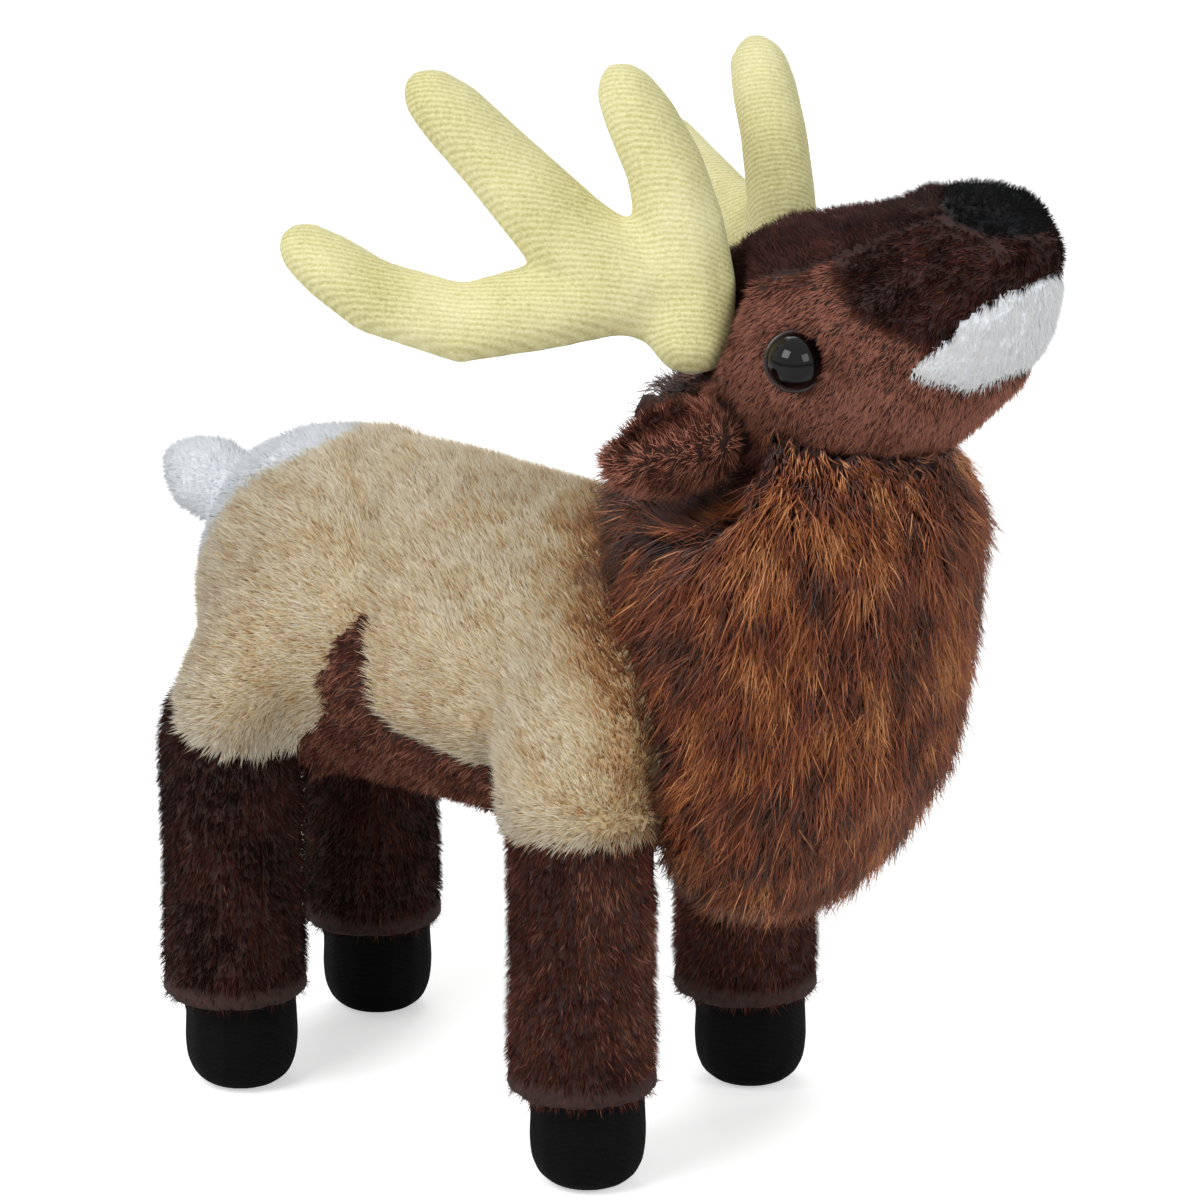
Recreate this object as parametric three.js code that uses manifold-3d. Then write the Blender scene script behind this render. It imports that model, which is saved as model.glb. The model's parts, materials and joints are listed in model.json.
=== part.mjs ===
import * as THREE from "three";
import { mergeVertices } from "three/addons/utils/BufferGeometryUtils.js";
import Module from "manifold-3d";

// A stuffed toy stag with a raised head, a long-haired ruff and soft antlers.
// Millimetres, +Z up. It stands on Z = 0, faces -Y, and its left side is +X.

// Driving dimensions: cloth and clearances
const clothWall = 1.8; // plush cover with its pile pressed down
const maneWall = 4; // long-pile ruff
const antlerWall = 1.2; // short knitted pile
const seamGap = 0.3; // between neighbouring pieces
const socketGap = 0.65; // round a piece that swings
const swingSlack = 2; // degrees of swing that a socket allows past the range
const ruffSlack = 2; // room in the soft ruff for ears and antlers that nod with the head

// Driving dimensions: trunk
const middleY = -23.1; // halfway from the nose to the tail's tip, where the origin lies
const rumpY = 60;
const chestY = -66;
const loinHeight = 124;
const withersHeight = 119;
const bellyHeight = 55.5;
const brisketHeight = 53;
const barrelHalfWidth = 30;

// Driving dimensions: the white patch on the rump and the brown wedge up each flank
const patchHalfWidth = 17.5;
const patchHalfHeight = 27;
const patchHalfDepth = 19;
const patchPitch = 40;
const patchInset = 11; // its middle lies ahead of the rump's end
const patchDrop = 12; // and below the loin
const flankY = 6;
const wedgeTip = 99.5;
const wedgeHeight = 24.5;
const wedgeWidth = 12;

// Driving dimensions: legs and hooves
const legRadius = 14.3;
const legWaistRadius = 13.9;
const lobeMargin = 1.7; // how far the body's cloth stands out past a leg
const hemHeight = 17; // lower end of the brown leg
const hemTuck = 0.8; // how far the hem draws in
const hoofRadius = 10.7;
const hoofCollarDepth = 6; // length of hoof sewn up inside the leg
const hoofForward = 1.2; // the toe stands ahead of the leg
const soleCut = 0.5; // flat pressed into the round sole
const hindHip = new THREE.Vector3(22.5, 40, 68);
const frontHip = new THREE.Vector3(28.5, -39.6, 66.5);
const legSwing = 10;
const hindHemRise = 20; // degrees that the body's edge rises behind the hind leg

// Driving dimensions: ruff
const ruffY = -65;
const ruffHalfWidth = 34;
const ruffHalfDepth = 32.5;
const ruffBottom = 46.5;
const ruffTop = 151;

// Driving dimensions: head, measured along its own raised axis
const headCentre = new THREE.Vector3(0, -74, 151);
const headPitch = 25;
const headHalfWidth = 22.5;
const browHeight = 25;
const jawDepth = 23.5;
const muzzleLength = 47.5;
const napeLength = 26;
const muzzleHalfWidth = 15.5;
const nodSwing = 10;
const gussetHalfWidth = 15;
const chinHalfWidth = 8;
const noseAlong = 40;
const noseUp = 14;
const noseRadius = 10.5;
const noseHalfHeight = 9;

// Driving dimensions: eyes
const eyeAlong = 4;
const eyeUp = 1.5;
const eyeRadius = 5.2;
const eyeBulge = 3.4;
const eyeEdge = 0.6; // height of the rim under the dome
const eyeSink = 0.4; // the rim presses into the cloth
const shankRadius = 1.5;
const shankLength = 7;
const washerRadius = 4.4;
const washerThickness = 1.2;
const washerSlack = 2.3; // the flat washer stands off the curved cloth

// Driving dimensions: ears
const earRoot = new THREE.Vector3(20, -62, 138);
const earLength = 25;
const earHalfHeight = 9.3;
const earHalfThickness = 4.4;
const earSweep = 24; // degrees that the ear points back from straight out
const earSwing = 18;

// Driving dimensions: antlers
const antlerBase = new THREE.Vector3(16, -54, 153);
const antlerHeight = 48.9; // from the root's middle to the front tine's tip
const antlerRootRadius = 7.5;
const antlerHalfThickness = 5.6;
const antlerSwing = 8;
// tall: the antler's height as a share of antlerHeight
const rightAntler = { side: -1, splay: 32, lean: 0, droop: 0, tall: 1 };
const leftAntler = { side: 1, splay: 34, lean: 2, droop: 28, tall: 0.94 };

// Driving dimensions: tail
const tailRoot = new THREE.Vector3(0, 53, 105);
const tailLength = 18;
const tailHalfWidth = 9;
const tailHalfHeight = 7.8;
const tailPitch = 24;
const tailSwing = 12;

// Facets: how finely round forms are cut
const trunkSides = 14;
const lobeSides = 12;
const ruffSides = 16;
const headSides = 14;
const legSides = 12;
const earSides = 10;
const tailSides = 10;
const tineSides = 8;
const eyeSides = 12;

const wasm = await Module();
wasm.setup();

const ORIGIN = new THREE.Vector3();
const X_AXIS = new THREE.Vector3(1, 0, 0);
const Y_AXIS = new THREE.Vector3(0, 1, 0);
const Z_AXIS = new THREE.Vector3(0, 0, 1);
const DOWN = new THREE.Vector3(0, 0, -1);
const radians = THREE.MathUtils.degToRad;

// Solids: three.js shapes turned into manifolds, which are then only joined and cut
function solidOf(geometry) {
  const bare = geometry.clone();
  bare.deleteAttribute("normal");
  bare.deleteAttribute("uv");
  const merged = mergeVertices(bare, 1e-4);
  return new wasm.Manifold(
    new wasm.Mesh({
      numProp: 3,
      vertProperties: merged.attributes.position.array,
      triVerts: new Uint32Array(merged.index.array),
    }),
  );
}

function geometryOf(solid) {
  const { vertProperties, triVerts } = solid.getMesh();
  const geometry = new THREE.BufferGeometry();
  geometry.setAttribute("position", new THREE.BufferAttribute(vertProperties.slice(), 3));
  geometry.setIndex(new THREE.BufferAttribute(triVerts.slice(), 1));
  return geometry;
}

const joined = (...solids) => solids.reduce((whole, next) => whole.add(next));
const cutBy = (solid, ...cutters) => cutters.reduce((left, cutter) => left.subtract(cutter), solid);

// The largest body of a solid: where two seams cross, the cut can leave crumbs of cloth.
function mainBody(solid) {
  const bodies = solid.decompose();
  return bodies.reduce((best, next) => (next.volume() > best.volume() ? next : best));
}

// A stuffed form: an oval section that swells and tapers along a path and closes round at both ends.
// Each station has a place and its half sizes, whose squares are blended, which rounds the ends.
function stuffedForm(stations, { across, tall, grow = 0, sides }) {
  const last = stations.length - 1;
  const places = stations.map((station) => station.at.clone());
  places[0].add(places[0].clone().sub(places[1]).setLength(1).multiplyScalar(grow));
  places[last].add(places[last].clone().sub(places[last - 1]).setLength(1).multiplyScalar(grow));
  const path = new THREE.CatmullRomCurve3(places, false, "catmullrom", 0.5);
  const squares = new THREE.SplineCurve(
    stations.map(({ wide, high }, i) =>
      i === 0 || i === last
        ? new THREE.Vector2(0, 0)
        : new THREE.Vector2(Math.max(wide + grow, 0.2) ** 2, Math.max(high + grow, 0.2) ** 2),
    ),
  );
  const points = [places[0]];
  // Rings stand at the stations, and two more round each end.
  const steps = [0.1, 0.42, ...places.keys().drop(1).take(last - 1), last - 0.42, last - 0.1];
  const rings = steps.length + 1;
  for (const step of steps) {
    const t = step / last;
    const centre = path.getPoint(t);
    const size = squares.getPoint(t);
    const up = tall ?? path.getTangent(t).cross(across).normalize();
    for (let side = 0; side < sides; side += 1) {
      const angle = (2 * Math.PI * (side + 0.5)) / sides;
      const along = Math.sqrt(Math.max(size.x, 0.01)) * Math.cos(angle);
      const above = Math.sqrt(Math.max(size.y, 0.01)) * Math.sin(angle);
      points.push(centre.clone().addScaledVector(across, along).addScaledVector(up, above));
    }
  }
  points.push(places[last]);
  const at = (ring, side) => 1 + (ring - 1) * sides + (side % sides);
  const faces = [];
  for (let side = 0; side < sides; side += 1) {
    faces.push(0, at(1, side + 1), at(1, side));
    for (let ring = 1; ring < rings - 1; ring += 1) {
      faces.push(at(ring, side), at(ring, side + 1), at(ring + 1, side + 1));
      faces.push(at(ring, side), at(ring + 1, side + 1), at(ring + 1, side));
    }
    faces.push(at(rings - 1, side), at(rings - 1, side + 1), points.length - 1);
  }
  const way = places[1].clone().sub(places[0]);
  const upThere = tall ?? path.getTangent(0).cross(across);
  if (across.clone().cross(upThere).dot(way) < 0) faces.reverse();
  const geometry = new THREE.BufferGeometry().setFromPoints(points);
  geometry.setIndex(faces);
  return geometry;
}

// A slab with a drawn outline in the Y-Z plane, straight through from side to side
function sideSlab(outline, halfWidth) {
  const shape = new THREE.Shape(outline.map(([y, z]) => new THREE.Vector2(y, z)));
  const slab = new THREE.ExtrudeGeometry(shape, { depth: 2 * halfWidth, bevelEnabled: false });
  slab.translate(0, 0, -halfWidth);
  return slab.rotateY(Math.PI / 2).rotateX(Math.PI / 2);
}

function box(low, high) {
  const size = new THREE.Vector3().subVectors(high, low);
  const centre = new THREE.Vector3().addVectors(low, high).multiplyScalar(0.5);
  return new THREE.BoxGeometry(size.x, size.y, size.z).translate(centre.x, centre.y, centre.z);
}

// The room that a swinging form needs: it flares away from its pivot, along its way and back, by the swing
function flared(geometry, pivot, way, sideways, swing) {
  const spread = Math.tan(radians(swing + swingSlack));
  const positions = geometry.getAttribute("position");
  const point = new THREE.Vector3();
  for (let i = 0; i < positions.count; i += 1) {
    point.fromBufferAttribute(positions, i);
    const offset = point.clone().sub(pivot);
    const distance = Math.abs(offset.dot(way));
    for (const direction of sideways)
      point.addScaledVector(direction, Math.sign(offset.dot(direction)) * distance * spread);
    positions.setXYZ(i, point.x, point.y, point.z);
  }
  return geometry;
}

const onSide = (point, side) => new THREE.Vector3(point.x * side, point.y, point.z);
const far = 400; // larger than the toy, for half spaces
const above = (z) => solidOf(box(new THREE.Vector3(-far, -far, z), new THREE.Vector3(far, far, far)));
const sideHalf = (side, gap) =>
  solidOf(
    side > 0
      ? box(new THREE.Vector3(gap / 2, -far, -far), new THREE.Vector3(far, far, far))
      : box(new THREE.Vector3(-far, -far, -far), new THREE.Vector3(-gap / 2, far, far)),
  );

// Trunk: a barrel with a lobe of cloth over each leg
const section = (y, low, high, wide) => ({
  at: new THREE.Vector3(0, y, (low + high) / 2),
  wide,
  high: (high - low) / 2,
});

function barrelForm(grow) {
  const length = rumpY - chestY;
  const depth = loinHeight - bellyHeight;
  const wide = barrelHalfWidth;
  const girth = (bellyHeight + brisketHeight) / 2;
  const tailEnd = bellyHeight + 0.53 * depth;
  const neckEnd = brisketHeight + 0.51 * depth;
  const curve = 0.088 * depth;
  const stations = [
    section(rumpY, tailEnd, tailEnd, 0),
    section(rumpY - 0.028 * length, bellyHeight + 0.248 * depth, loinHeight - 0.248 * depth, 0.333 * wide),
    section(rumpY - 0.079 * length, bellyHeight + 0.131 * depth, loinHeight - 0.117 * depth, 0.583 * wide),
    section(rumpY - 0.159 * length, bellyHeight + 0.051 * depth, loinHeight - 0.036 * depth, 0.867 * wide),
    section(rumpY - 0.27 * length, bellyHeight + 0.015 * depth, loinHeight, wide),
    section(rumpY - 0.437 * length, bellyHeight, loinHeight - 0.029 * depth, wide),
    section(rumpY - 0.595 * length, girth, withersHeight + 0.015 * depth, 1.033 * wide),
    section(rumpY - 0.778 * length, brisketHeight, withersHeight - 0.015 * depth, 1.033 * wide),
    section(chestY + 0.063 * length, brisketHeight + curve, withersHeight - curve, 0.733 * wide),
    section(chestY, neckEnd, neckEnd, 0),
  ];
  return stuffedForm(stations, { sides: trunkSides, across: X_AXIS, tall: Z_AXIS, grow });
}

const column = (x, y, z, wide, high) => ({ at: new THREE.Vector3(x, y, z), wide, high });

function lobeForm(hip, side, { top, reach, leanIn, leanBack }, grow) {
  const rim = legRadius + lobeMargin;
  const rise = top - hip.z;
  const stations = [
    column(hip.x, hip.y, hip.z - rim, 0, 0),
    column(hip.x, hip.y, hip.z, rim, rim),
    column(hip.x - leanIn * 0.3, hip.y + leanBack * 0.4, hip.z + 0.26 * rise, rim * 1.03, reach * 0.94),
    column(hip.x - leanIn * 0.7, hip.y + leanBack * 0.8, hip.z + 0.56 * rise, rim * 0.91, reach),
    column(hip.x - leanIn, hip.y + leanBack, top, 0, 0),
  ];
  for (const station of stations) station.at = onSide(station.at, side);
  return stuffedForm(stations, { sides: lobeSides, across: X_AXIS, tall: Y_AXIS, grow });
}

const haunch = { top: 118, reach: 15.5, leanIn: 8, leanBack: -15 };
const shoulder = { top: 111, reach: 18.5, leanIn: 8, leanBack: 0 };

// The half space over the haunch's edge, which rises towards the rump
function aboveHindHem() {
  const space = box(new THREE.Vector3(-far, -far, 0), new THREE.Vector3(far, far, far));
  return solidOf(space.rotateX(radians(hindHemRise)).translate(0, hindHip.y - legRadius * 0.6, hindHip.z));
}

function bodySolid(grow) {
  const lobes = [1, -1].flatMap((side) => [
    solidOf(lobeForm(hindHip, side, haunch, grow)).intersect(above(hindHip.z)).intersect(aboveHindHem()),
    solidOf(lobeForm(frontHip, side, shoulder, grow)).intersect(above(frontHip.z)),
  ]);
  return joined(solidOf(barrelForm(grow)), ...lobes);
}

// Legs: a dome at the hip, a slight waist, and an open hem round the hoof
function legForm(hip, side, grow) {
  const { x, y } = onSide(hip, side);
  const stations = [
    column(x, y, hip.z + legRadius, 0, 0),
    column(x, y, hip.z + legRadius * 0.5, legRadius * 0.866, legRadius * 0.866),
    column(x, y, hip.z, legRadius, legRadius),
    column(x, y, (hip.z + hemHeight) / 2, legWaistRadius, legWaistRadius),
    column(x, y, hemHeight + 7, legRadius, legRadius),
    column(x, y, hemHeight, legRadius - hemTuck, legRadius - hemTuck),
    column(x, y, hemHeight - 10, 0, 0),
  ];
  return stuffedForm(stations, { sides: legSides, across: X_AXIS, tall: Y_AXIS, grow });
}

const legRoom = (hip, side) =>
  solidOf(flared(legForm(hip, side, socketGap), onSide(hip, side), DOWN, [Y_AXIS], legSwing));

function hoofForm(hip, side) {
  const { x, y } = onSide(hip, side);
  const collar = legRadius - hemTuck - clothWall - seamGap;
  const sole = -soleCut;
  const profile = [
    [0, sole],
    [hoofRadius * 0.62, hemHeight * 0.012],
    [hoofRadius * 0.84, hemHeight * 0.118],
    [hoofRadius * 0.97, hemHeight * 0.306],
    [hoofRadius, hemHeight * 0.53],
    [hoofRadius * 0.97, hemHeight * 0.91],
    [collar, hemHeight * 1.06],
    [collar, hemHeight + hoofCollarDepth],
    [0, hemHeight + hoofCollarDepth],
  ].map(([radius, z]) => new THREE.Vector2(radius, z));
  const hoof = new THREE.LatheGeometry(profile, legSides, Math.PI / legSides).rotateX(Math.PI / 2);
  const positions = hoof.getAttribute("position");
  for (let i = 0; i < positions.count; i += 1)
    if (positions.getZ(i) < hemHeight) positions.setY(i, positions.getY(i) - hoofForward);
  return hoof.translate(x, y, 0);
}

const hips = [
  { name: "front_left", hip: frontHip, side: 1 },
  { name: "front_right", hip: frontHip, side: -1 },
  { name: "hind_left", hip: hindHip, side: 1 },
  { name: "hind_right", hip: hindHip, side: -1 },
];
const legRooms = hips.map(({ hip, side }) => legRoom(hip, side));

// Tail: a short lobe on a rounded root
const tailWay = new THREE.Vector3(0, Math.cos(radians(tailPitch)), Math.sin(radians(tailPitch)));
function tailForm(grow) {
  const along = (distance) => tailRoot.clone().addScaledVector(tailWay, distance);
  const stations = [
    { at: along(-tailHalfHeight), wide: 0, high: 0 },
    { at: along(0), wide: tailHalfHeight, high: tailHalfHeight },
    { at: along(tailLength * 0.5), wide: tailHalfWidth, high: tailHalfHeight },
    { at: along(tailLength), wide: 0, high: 0 },
  ];
  return stuffedForm(stations, { sides: tailSides, across: X_AXIS, grow });
}

const tailAcross = new THREE.Vector3().crossVectors(tailWay, X_AXIS);
const tailRoom = solidOf(flared(tailForm(socketGap), tailRoot, tailWay, [tailAcross], tailSwing));

// Ruff: a deep collar of long pile round the neck and chest
function ruffForm(grow) {
  const level = (share, lean, width, depth) => {
    const z = ruffBottom + share * (ruffTop - ruffBottom);
    return column(0, ruffY + lean * ruffHalfDepth, z, width * ruffHalfWidth, depth * ruffHalfDepth);
  };
  const stations = [
    level(0, 0.154, 0, 0),
    level(0.057, 0.092, 0.54, 0.46),
    level(0.163, 0.062, 0.78, 0.72),
    level(0.306, 0.031, 0.94, 0.93),
    level(0.498, 0, 1, 1),
    level(0.713, -0.031, 1, 1.02),
    level(0.828, 0.031, 0.88, 0.94),
    level(0.933, 0.215, 0.6, 0.68),
    level(1, 0.277, 0, 0),
  ];
  return stuffedForm(stations, { sides: ruffSides, across: X_AXIS, tall: Y_AXIS, grow });
}

// Head: built along its own axis, nose towards -Y, then raised by its pitch
const headMatrix = new THREE.Matrix4()
  .makeTranslation(headCentre.x, headCentre.y, headCentre.z)
  .multiply(new THREE.Matrix4().makeRotationX(-radians(headPitch)));
const headPoint = (x, along, up) => new THREE.Vector3(x, -along, up).applyMatrix4(headMatrix);

function headForm(grow) {
  const slice = (along, low, high, wide) => section(-along, low, high, wide);
  const stations = [
    slice(-napeLength, 0.04 * browHeight, 0.04 * browHeight, 0),
    slice(-0.615 * napeLength, -0.894 * jawDepth, 0.9 * browHeight, 0.889 * headHalfWidth),
    slice(0, -jawDepth, browHeight, headHalfWidth),
    slice(0.358 * muzzleLength, -0.949 * jawDepth, 0.856 * browHeight, 0.933 * headHalfWidth),
    slice(0.632 * muzzleLength, -0.745 * jawDepth, 0.84 * browHeight, 1.097 * muzzleHalfWidth),
    slice(0.8 * muzzleLength, -0.511 * jawDepth, 0.76 * browHeight, 0.903 * muzzleHalfWidth),
    slice(0.916 * muzzleLength, -0.213 * jawDepth, 0.62 * browHeight, 0.613 * muzzleHalfWidth),
    slice(muzzleLength, 0.24 * browHeight, 0.24 * browHeight, 0),
  ];
  return stuffedForm(stations, { sides: headSides, across: X_AXIS, tall: Z_AXIS, grow });
}

const headSolid = (grow) => solidOf(headForm(grow).applyMatrix4(headMatrix));

const headRoomForm = () =>
  flared(headForm(socketGap), ORIGIN, Y_AXIS, [Z_AXIS], nodSwing).applyMatrix4(headMatrix);

// Room in the ruff for a form that nods with the head: each point is spread the ways that the nod carries it
function nodding(geometry, middle) {
  const spread = Math.sin(radians(nodSwing + swingSlack));
  const positions = geometry.getAttribute("position");
  for (let i = 0; i < positions.count; i += 1) {
    const y = positions.getY(i);
    const z = positions.getZ(i);
    positions.setY(i, y + Math.sign(y - middle.y) * Math.abs(z - headCentre.z) * spread);
    positions.setZ(i, z + Math.sign(z - middle.z) * Math.abs(y - headCentre.y) * spread);
  }
  return geometry;
}

// A cutter seen from above the head: its half width at places along the head, through the height given
function topCutter(widths, low, high, grow) {
  const edge = widths.map(([along, half]) => new THREE.Vector2(half + grow, along));
  const back = widths.map(([along, half]) => new THREE.Vector2(-half - grow, along)).reverse();
  const shape = new THREE.Shape([...edge, ...back]);
  const slab = new THREE.ExtrudeGeometry(shape, { depth: high - low, bevelEnabled: false });
  slab.translate(0, 0, low).rotateZ(Math.PI);
  return solidOf(slab.applyMatrix4(headMatrix));
}

const gussetCutter = (grow) =>
  topCutter(
    [
      [-1.15 * napeLength, 0.733 * gussetHalfWidth],
      [-0.38 * napeLength, gussetHalfWidth],
      [0.168 * muzzleLength, gussetHalfWidth],
      [0.505 * muzzleLength, 0.733 * gussetHalfWidth],
      [0.95 * noseAlong, 0.76 * noseRadius],
    ],
    0.16 * browHeight,
    1.4 * browHeight,
    grow,
  );
const chinCutter = (grow) =>
  topCutter(
    [
      [-1.15 * napeLength, 0.625 * chinHalfWidth],
      [0, chinHalfWidth],
      [0.505 * muzzleLength, chinHalfWidth],
      [1.08 * muzzleLength, 0.75 * chinHalfWidth],
    ],
    -1.4 * jawDepth,
    -0.34 * jawDepth,
    grow,
  );

function mouthCutter(grow) {
  const low = -0.604 * jawDepth - grow;
  const high = -0.034 * jawDepth + grow;
  const outline = [
    [-0.474 * muzzleLength + grow, -0.298 * jawDepth],
    [-0.589 * muzzleLength + grow, low],
    [-1.126 * muzzleLength, low],
    [-1.126 * muzzleLength, high],
    [-0.8 * muzzleLength, high],
    [-0.653 * muzzleLength, -0.17 * jawDepth + grow],
  ];
  return solidOf(sideSlab(outline, 1.44 * headHalfWidth).applyMatrix4(headMatrix));
}

function noseCutter(grow) {
  const radius = noseRadius + grow;
  const oval = new THREE.SphereGeometry(1, 14, 8).scale(radius, radius, noseHalfHeight + grow);
  return solidOf(oval.translate(0, -noseAlong, noseUp).applyMatrix4(headMatrix));
}

// Eyes: a glossy dome on a shank that passes through the cloth into a locking washer
function eyeMatrix(side) {
  const out = new THREE.Vector3(side * 0.93, -0.33, 0.14).normalize();
  const seat = headPoint(side * (headHalfWidth - eyeSink), eyeAlong, eyeUp);
  const turn = new THREE.Quaternion().setFromUnitVectors(Y_AXIS, out);
  return new THREE.Matrix4().compose(seat, turn, new THREE.Vector3(1, 1, 1));
}

function eyeForm(side, grow) {
  const rim = eyeRadius + grow;
  const bulge = eyeBulge + grow;
  const dome = Array.from({ length: 5 }, (_, i) => {
    const angle = (i / 4) * (Math.PI / 2);
    return new THREE.Vector2(rim * Math.cos(angle), eyeEdge + bulge * Math.sin(angle));
  });
  const profile = [
    new THREE.Vector2(0, -shankLength - grow),
    new THREE.Vector2(shankRadius + grow, -shankLength - grow),
    new THREE.Vector2(shankRadius + grow, -grow),
    new THREE.Vector2(rim, -grow),
    ...dome.slice(0, -1),
    new THREE.Vector2(0, eyeEdge + bulge),
  ];
  return new THREE.LatheGeometry(profile, eyeSides).applyMatrix4(eyeMatrix(side));
}

function washerForm(side) {
  const near = -clothWall - washerSlack;
  const deep = near - washerThickness;
  const profile = [
    [shankRadius + seamGap, deep],
    [washerRadius, deep],
    [washerRadius, near],
    [shankRadius + seamGap, near],
    [shankRadius + seamGap, deep],
  ].map(([radius, y]) => new THREE.Vector2(radius, y));
  return new THREE.LatheGeometry(profile, eyeSides).applyMatrix4(eyeMatrix(side));
}

// The hollow in the stuffing round shank and washer
function eyePocket(side) {
  const deep = -shankLength - 2 * seamGap;
  const radius = washerRadius + seamGap;
  const profile = [[0, deep], [radius, deep], [radius, 0], [0, 0]].map(([r, y]) => new THREE.Vector2(r, y));
  return solidOf(new THREE.LatheGeometry(profile, eyeSides).applyMatrix4(eyeMatrix(side)));
}

// Ears: a thick leaf of cloth that swings on its root seam
const earWay = (side) =>
  new THREE.Vector3(side * Math.cos(radians(earSweep)), Math.sin(radians(earSweep)), 0);
const earFace = (side) => new THREE.Vector3().crossVectors(earWay(side), Z_AXIS);

function earForm(side, grow) {
  const along = (distance) => onSide(earRoot, side).addScaledVector(earWay(side), distance);
  const stations = [
    { at: along(-earHalfThickness), wide: 0, high: 0 },
    { at: along(0), wide: earHalfThickness, high: earHalfHeight - 2 },
    { at: along(earLength * 0.35), wide: earHalfThickness, high: earHalfHeight },
    { at: along(earLength * 0.72), wide: earHalfThickness - 0.8, high: earHalfHeight - 2 },
    { at: along(earLength), wide: 0, high: 0 },
  ];
  return stuffedForm(stations, { sides: earSides, across: earFace(side), tall: Z_AXIS, grow });
}

const earRoomForm = (side, gap) =>
  flared(earForm(side, gap), onSide(earRoot, side), earWay(side), [earFace(side)], earSwing);

// Antlers: three tines in one plane, with h running back from the base and v up
// All in shares of the front tine's height; the droop turns the middle and rear tines about the fork.
const frontTine = [
  [0.012, 0.204, 0.176],
  [0.041, 0.429, 0.16],
  [0.094, 0.634, 0.141],
  [0.176, 0.806, 0.127],
  [0.237, 0.918, 0.1],
  [0.27, 1, 0],
];
const middleTine = [
  [0, 0, 0],
  [0.204, 0.204, 0.194],
  [0.435, 0.388, 0.176],
  [0.682, 0.66, 0.139],
  [0.837, 0.825, 0.123],
  [0.922, 0.902, 0.096],
  [0.98, 0.952, 0],
];
const rearTine = [
  [0, 0, 0],
  [0.225, 0.184, 0.168],
  [0.511, 0.134, 0.164],
  [0.808, 0.069, 0.147],
  [1.115, 0.164, 0.135],
  [1.268, 0.272, 0.119],
  [1.37, 0.346, 0.092],
  [1.431, 0.388, 0],
];
const fork = new THREE.Vector2(0.164, 0.184);

function antlerTines({ droop, tall }) {
  const height = tall * antlerHeight;
  const station = (place, wide, high) => ({ at: new THREE.Vector3(place.x, place.y, 0), wide, high });
  const tine = (points, turn) =>
    points.map(([back, up, half]) => {
      const place = new THREE.Vector2(back, up).rotateAround(fork, -radians(turn));
      const high = half * antlerHeight;
      return station(place.multiplyScalar(height), Math.min(high, antlerHalfThickness), high);
    });
  const root = antlerRootRadius;
  const sewnEnd = [station(new THREE.Vector2(0, -root), 0, 0), station(new THREE.Vector2(), root, root)];
  return [[...sewnEnd, ...tine(frontTine, 0)], tine(middleTine, droop), tine(rearTine, droop)];
}

function antlerMatrix({ side, splay, lean }) {
  const base = onSide(antlerBase, side);
  const back = new THREE.Vector3(side * Math.sin(radians(splay)), Math.cos(radians(splay)), 0);
  const normal = new THREE.Vector3().crossVectors(back, Z_AXIS);
  const frame = new THREE.Matrix4().makeBasis(back, Z_AXIS, normal).setPosition(base);
  return frame.multiply(new THREE.Matrix4().makeRotationZ(-radians(lean)));
}

function antlerForms(pose, grow, openRoot = false) {
  const tines = antlerTines(pose);
  if (openRoot) tines[0][0].at.y -= 2 * antlerWall + 3; // reaches out through the sewn end
  return tines.map((stations) =>
    stuffedForm(stations, { sides: tineSides, across: Z_AXIS, grow }).applyMatrix4(
      antlerMatrix(pose),
    ),
  );
}

const antlerSolid = (pose, grow, openRoot) => joined(...antlerForms(pose, grow, openRoot).map(solidOf));
function antlerRoomForm(pose, gap) {
  const [front] = antlerTines(pose);
  const form = stuffedForm(front, { sides: tineSides, across: Z_AXIS, grow: gap });
  return flared(form, ORIGIN, Y_AXIS, [X_AXIS, Z_AXIS], antlerSwing).applyMatrix4(antlerMatrix(pose));
}

// Rooms that moving pieces need in their neighbours
const headRoom = solidOf(headRoomForm());
const earRooms = [1, -1].map((side) => solidOf(earRoomForm(side, socketGap)));
const antlerRooms = [leftAntler, rightAntler].map((pose) => solidOf(antlerRoomForm(pose, socketGap)));
const roomsInRuff = [
  headRoom,
  ...[1, -1].map((side) => solidOf(nodding(earRoomForm(side, ruffSlack), earRoot))),
  ...[leftAntler, rightAntler].map((pose) => solidOf(nodding(antlerRoomForm(pose, ruffSlack), antlerBase))),
];
const ruffInside = solidOf(ruffForm(-maneWall));

// Materials
const cloth = (color) => new THREE.MeshStandardMaterial({ color, roughness: 0.95, metalness: 0 });
const materials = {
  tanPlush: cloth(0xd2be98),
  brownPlush: cloth(0x4a2a22),
  gussetPlush: cloth(0x3a1f1a),
  manePlush: cloth(0x7a3b1c),
  whitePlush: cloth(0xeef2f6),
  blackPlush: cloth(0x0c0d10),
  hoofVelboa: cloth(0x0b0c0e),
  antlerVelboa: cloth(0xe0dbaa),
  filling: cloth(0xf4f4f0),
  eyePlastic: new THREE.MeshStandardMaterial({ color: 0x050505, roughness: 0.08, metalness: 0 }),
  washerPlastic: new THREE.MeshStandardMaterial({ color: 0xe8e8e4, roughness: 0.4, metalness: 0 }),
};

// Scene graph: each group stands at the point about which its pieces turn
const toy = new THREE.Group();
const placeOf = new Map([[toy, new THREE.Vector3()]]);

function groupAt(parent, place) {
  const group = new THREE.Group();
  group.position.subVectors(place, placeOf.get(parent));
  placeOf.set(group, place.clone());
  parent.add(group);
  return group;
}

function addPiece(group, name, solid, material) {
  const place = placeOf.get(group);
  const geometry = geometryOf(mainBody(solid)).translate(-place.x, -place.y, -place.z);
  const mesh = new THREE.Mesh(geometry, material);
  mesh.name = name;
  group.add(mesh);
}

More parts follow.
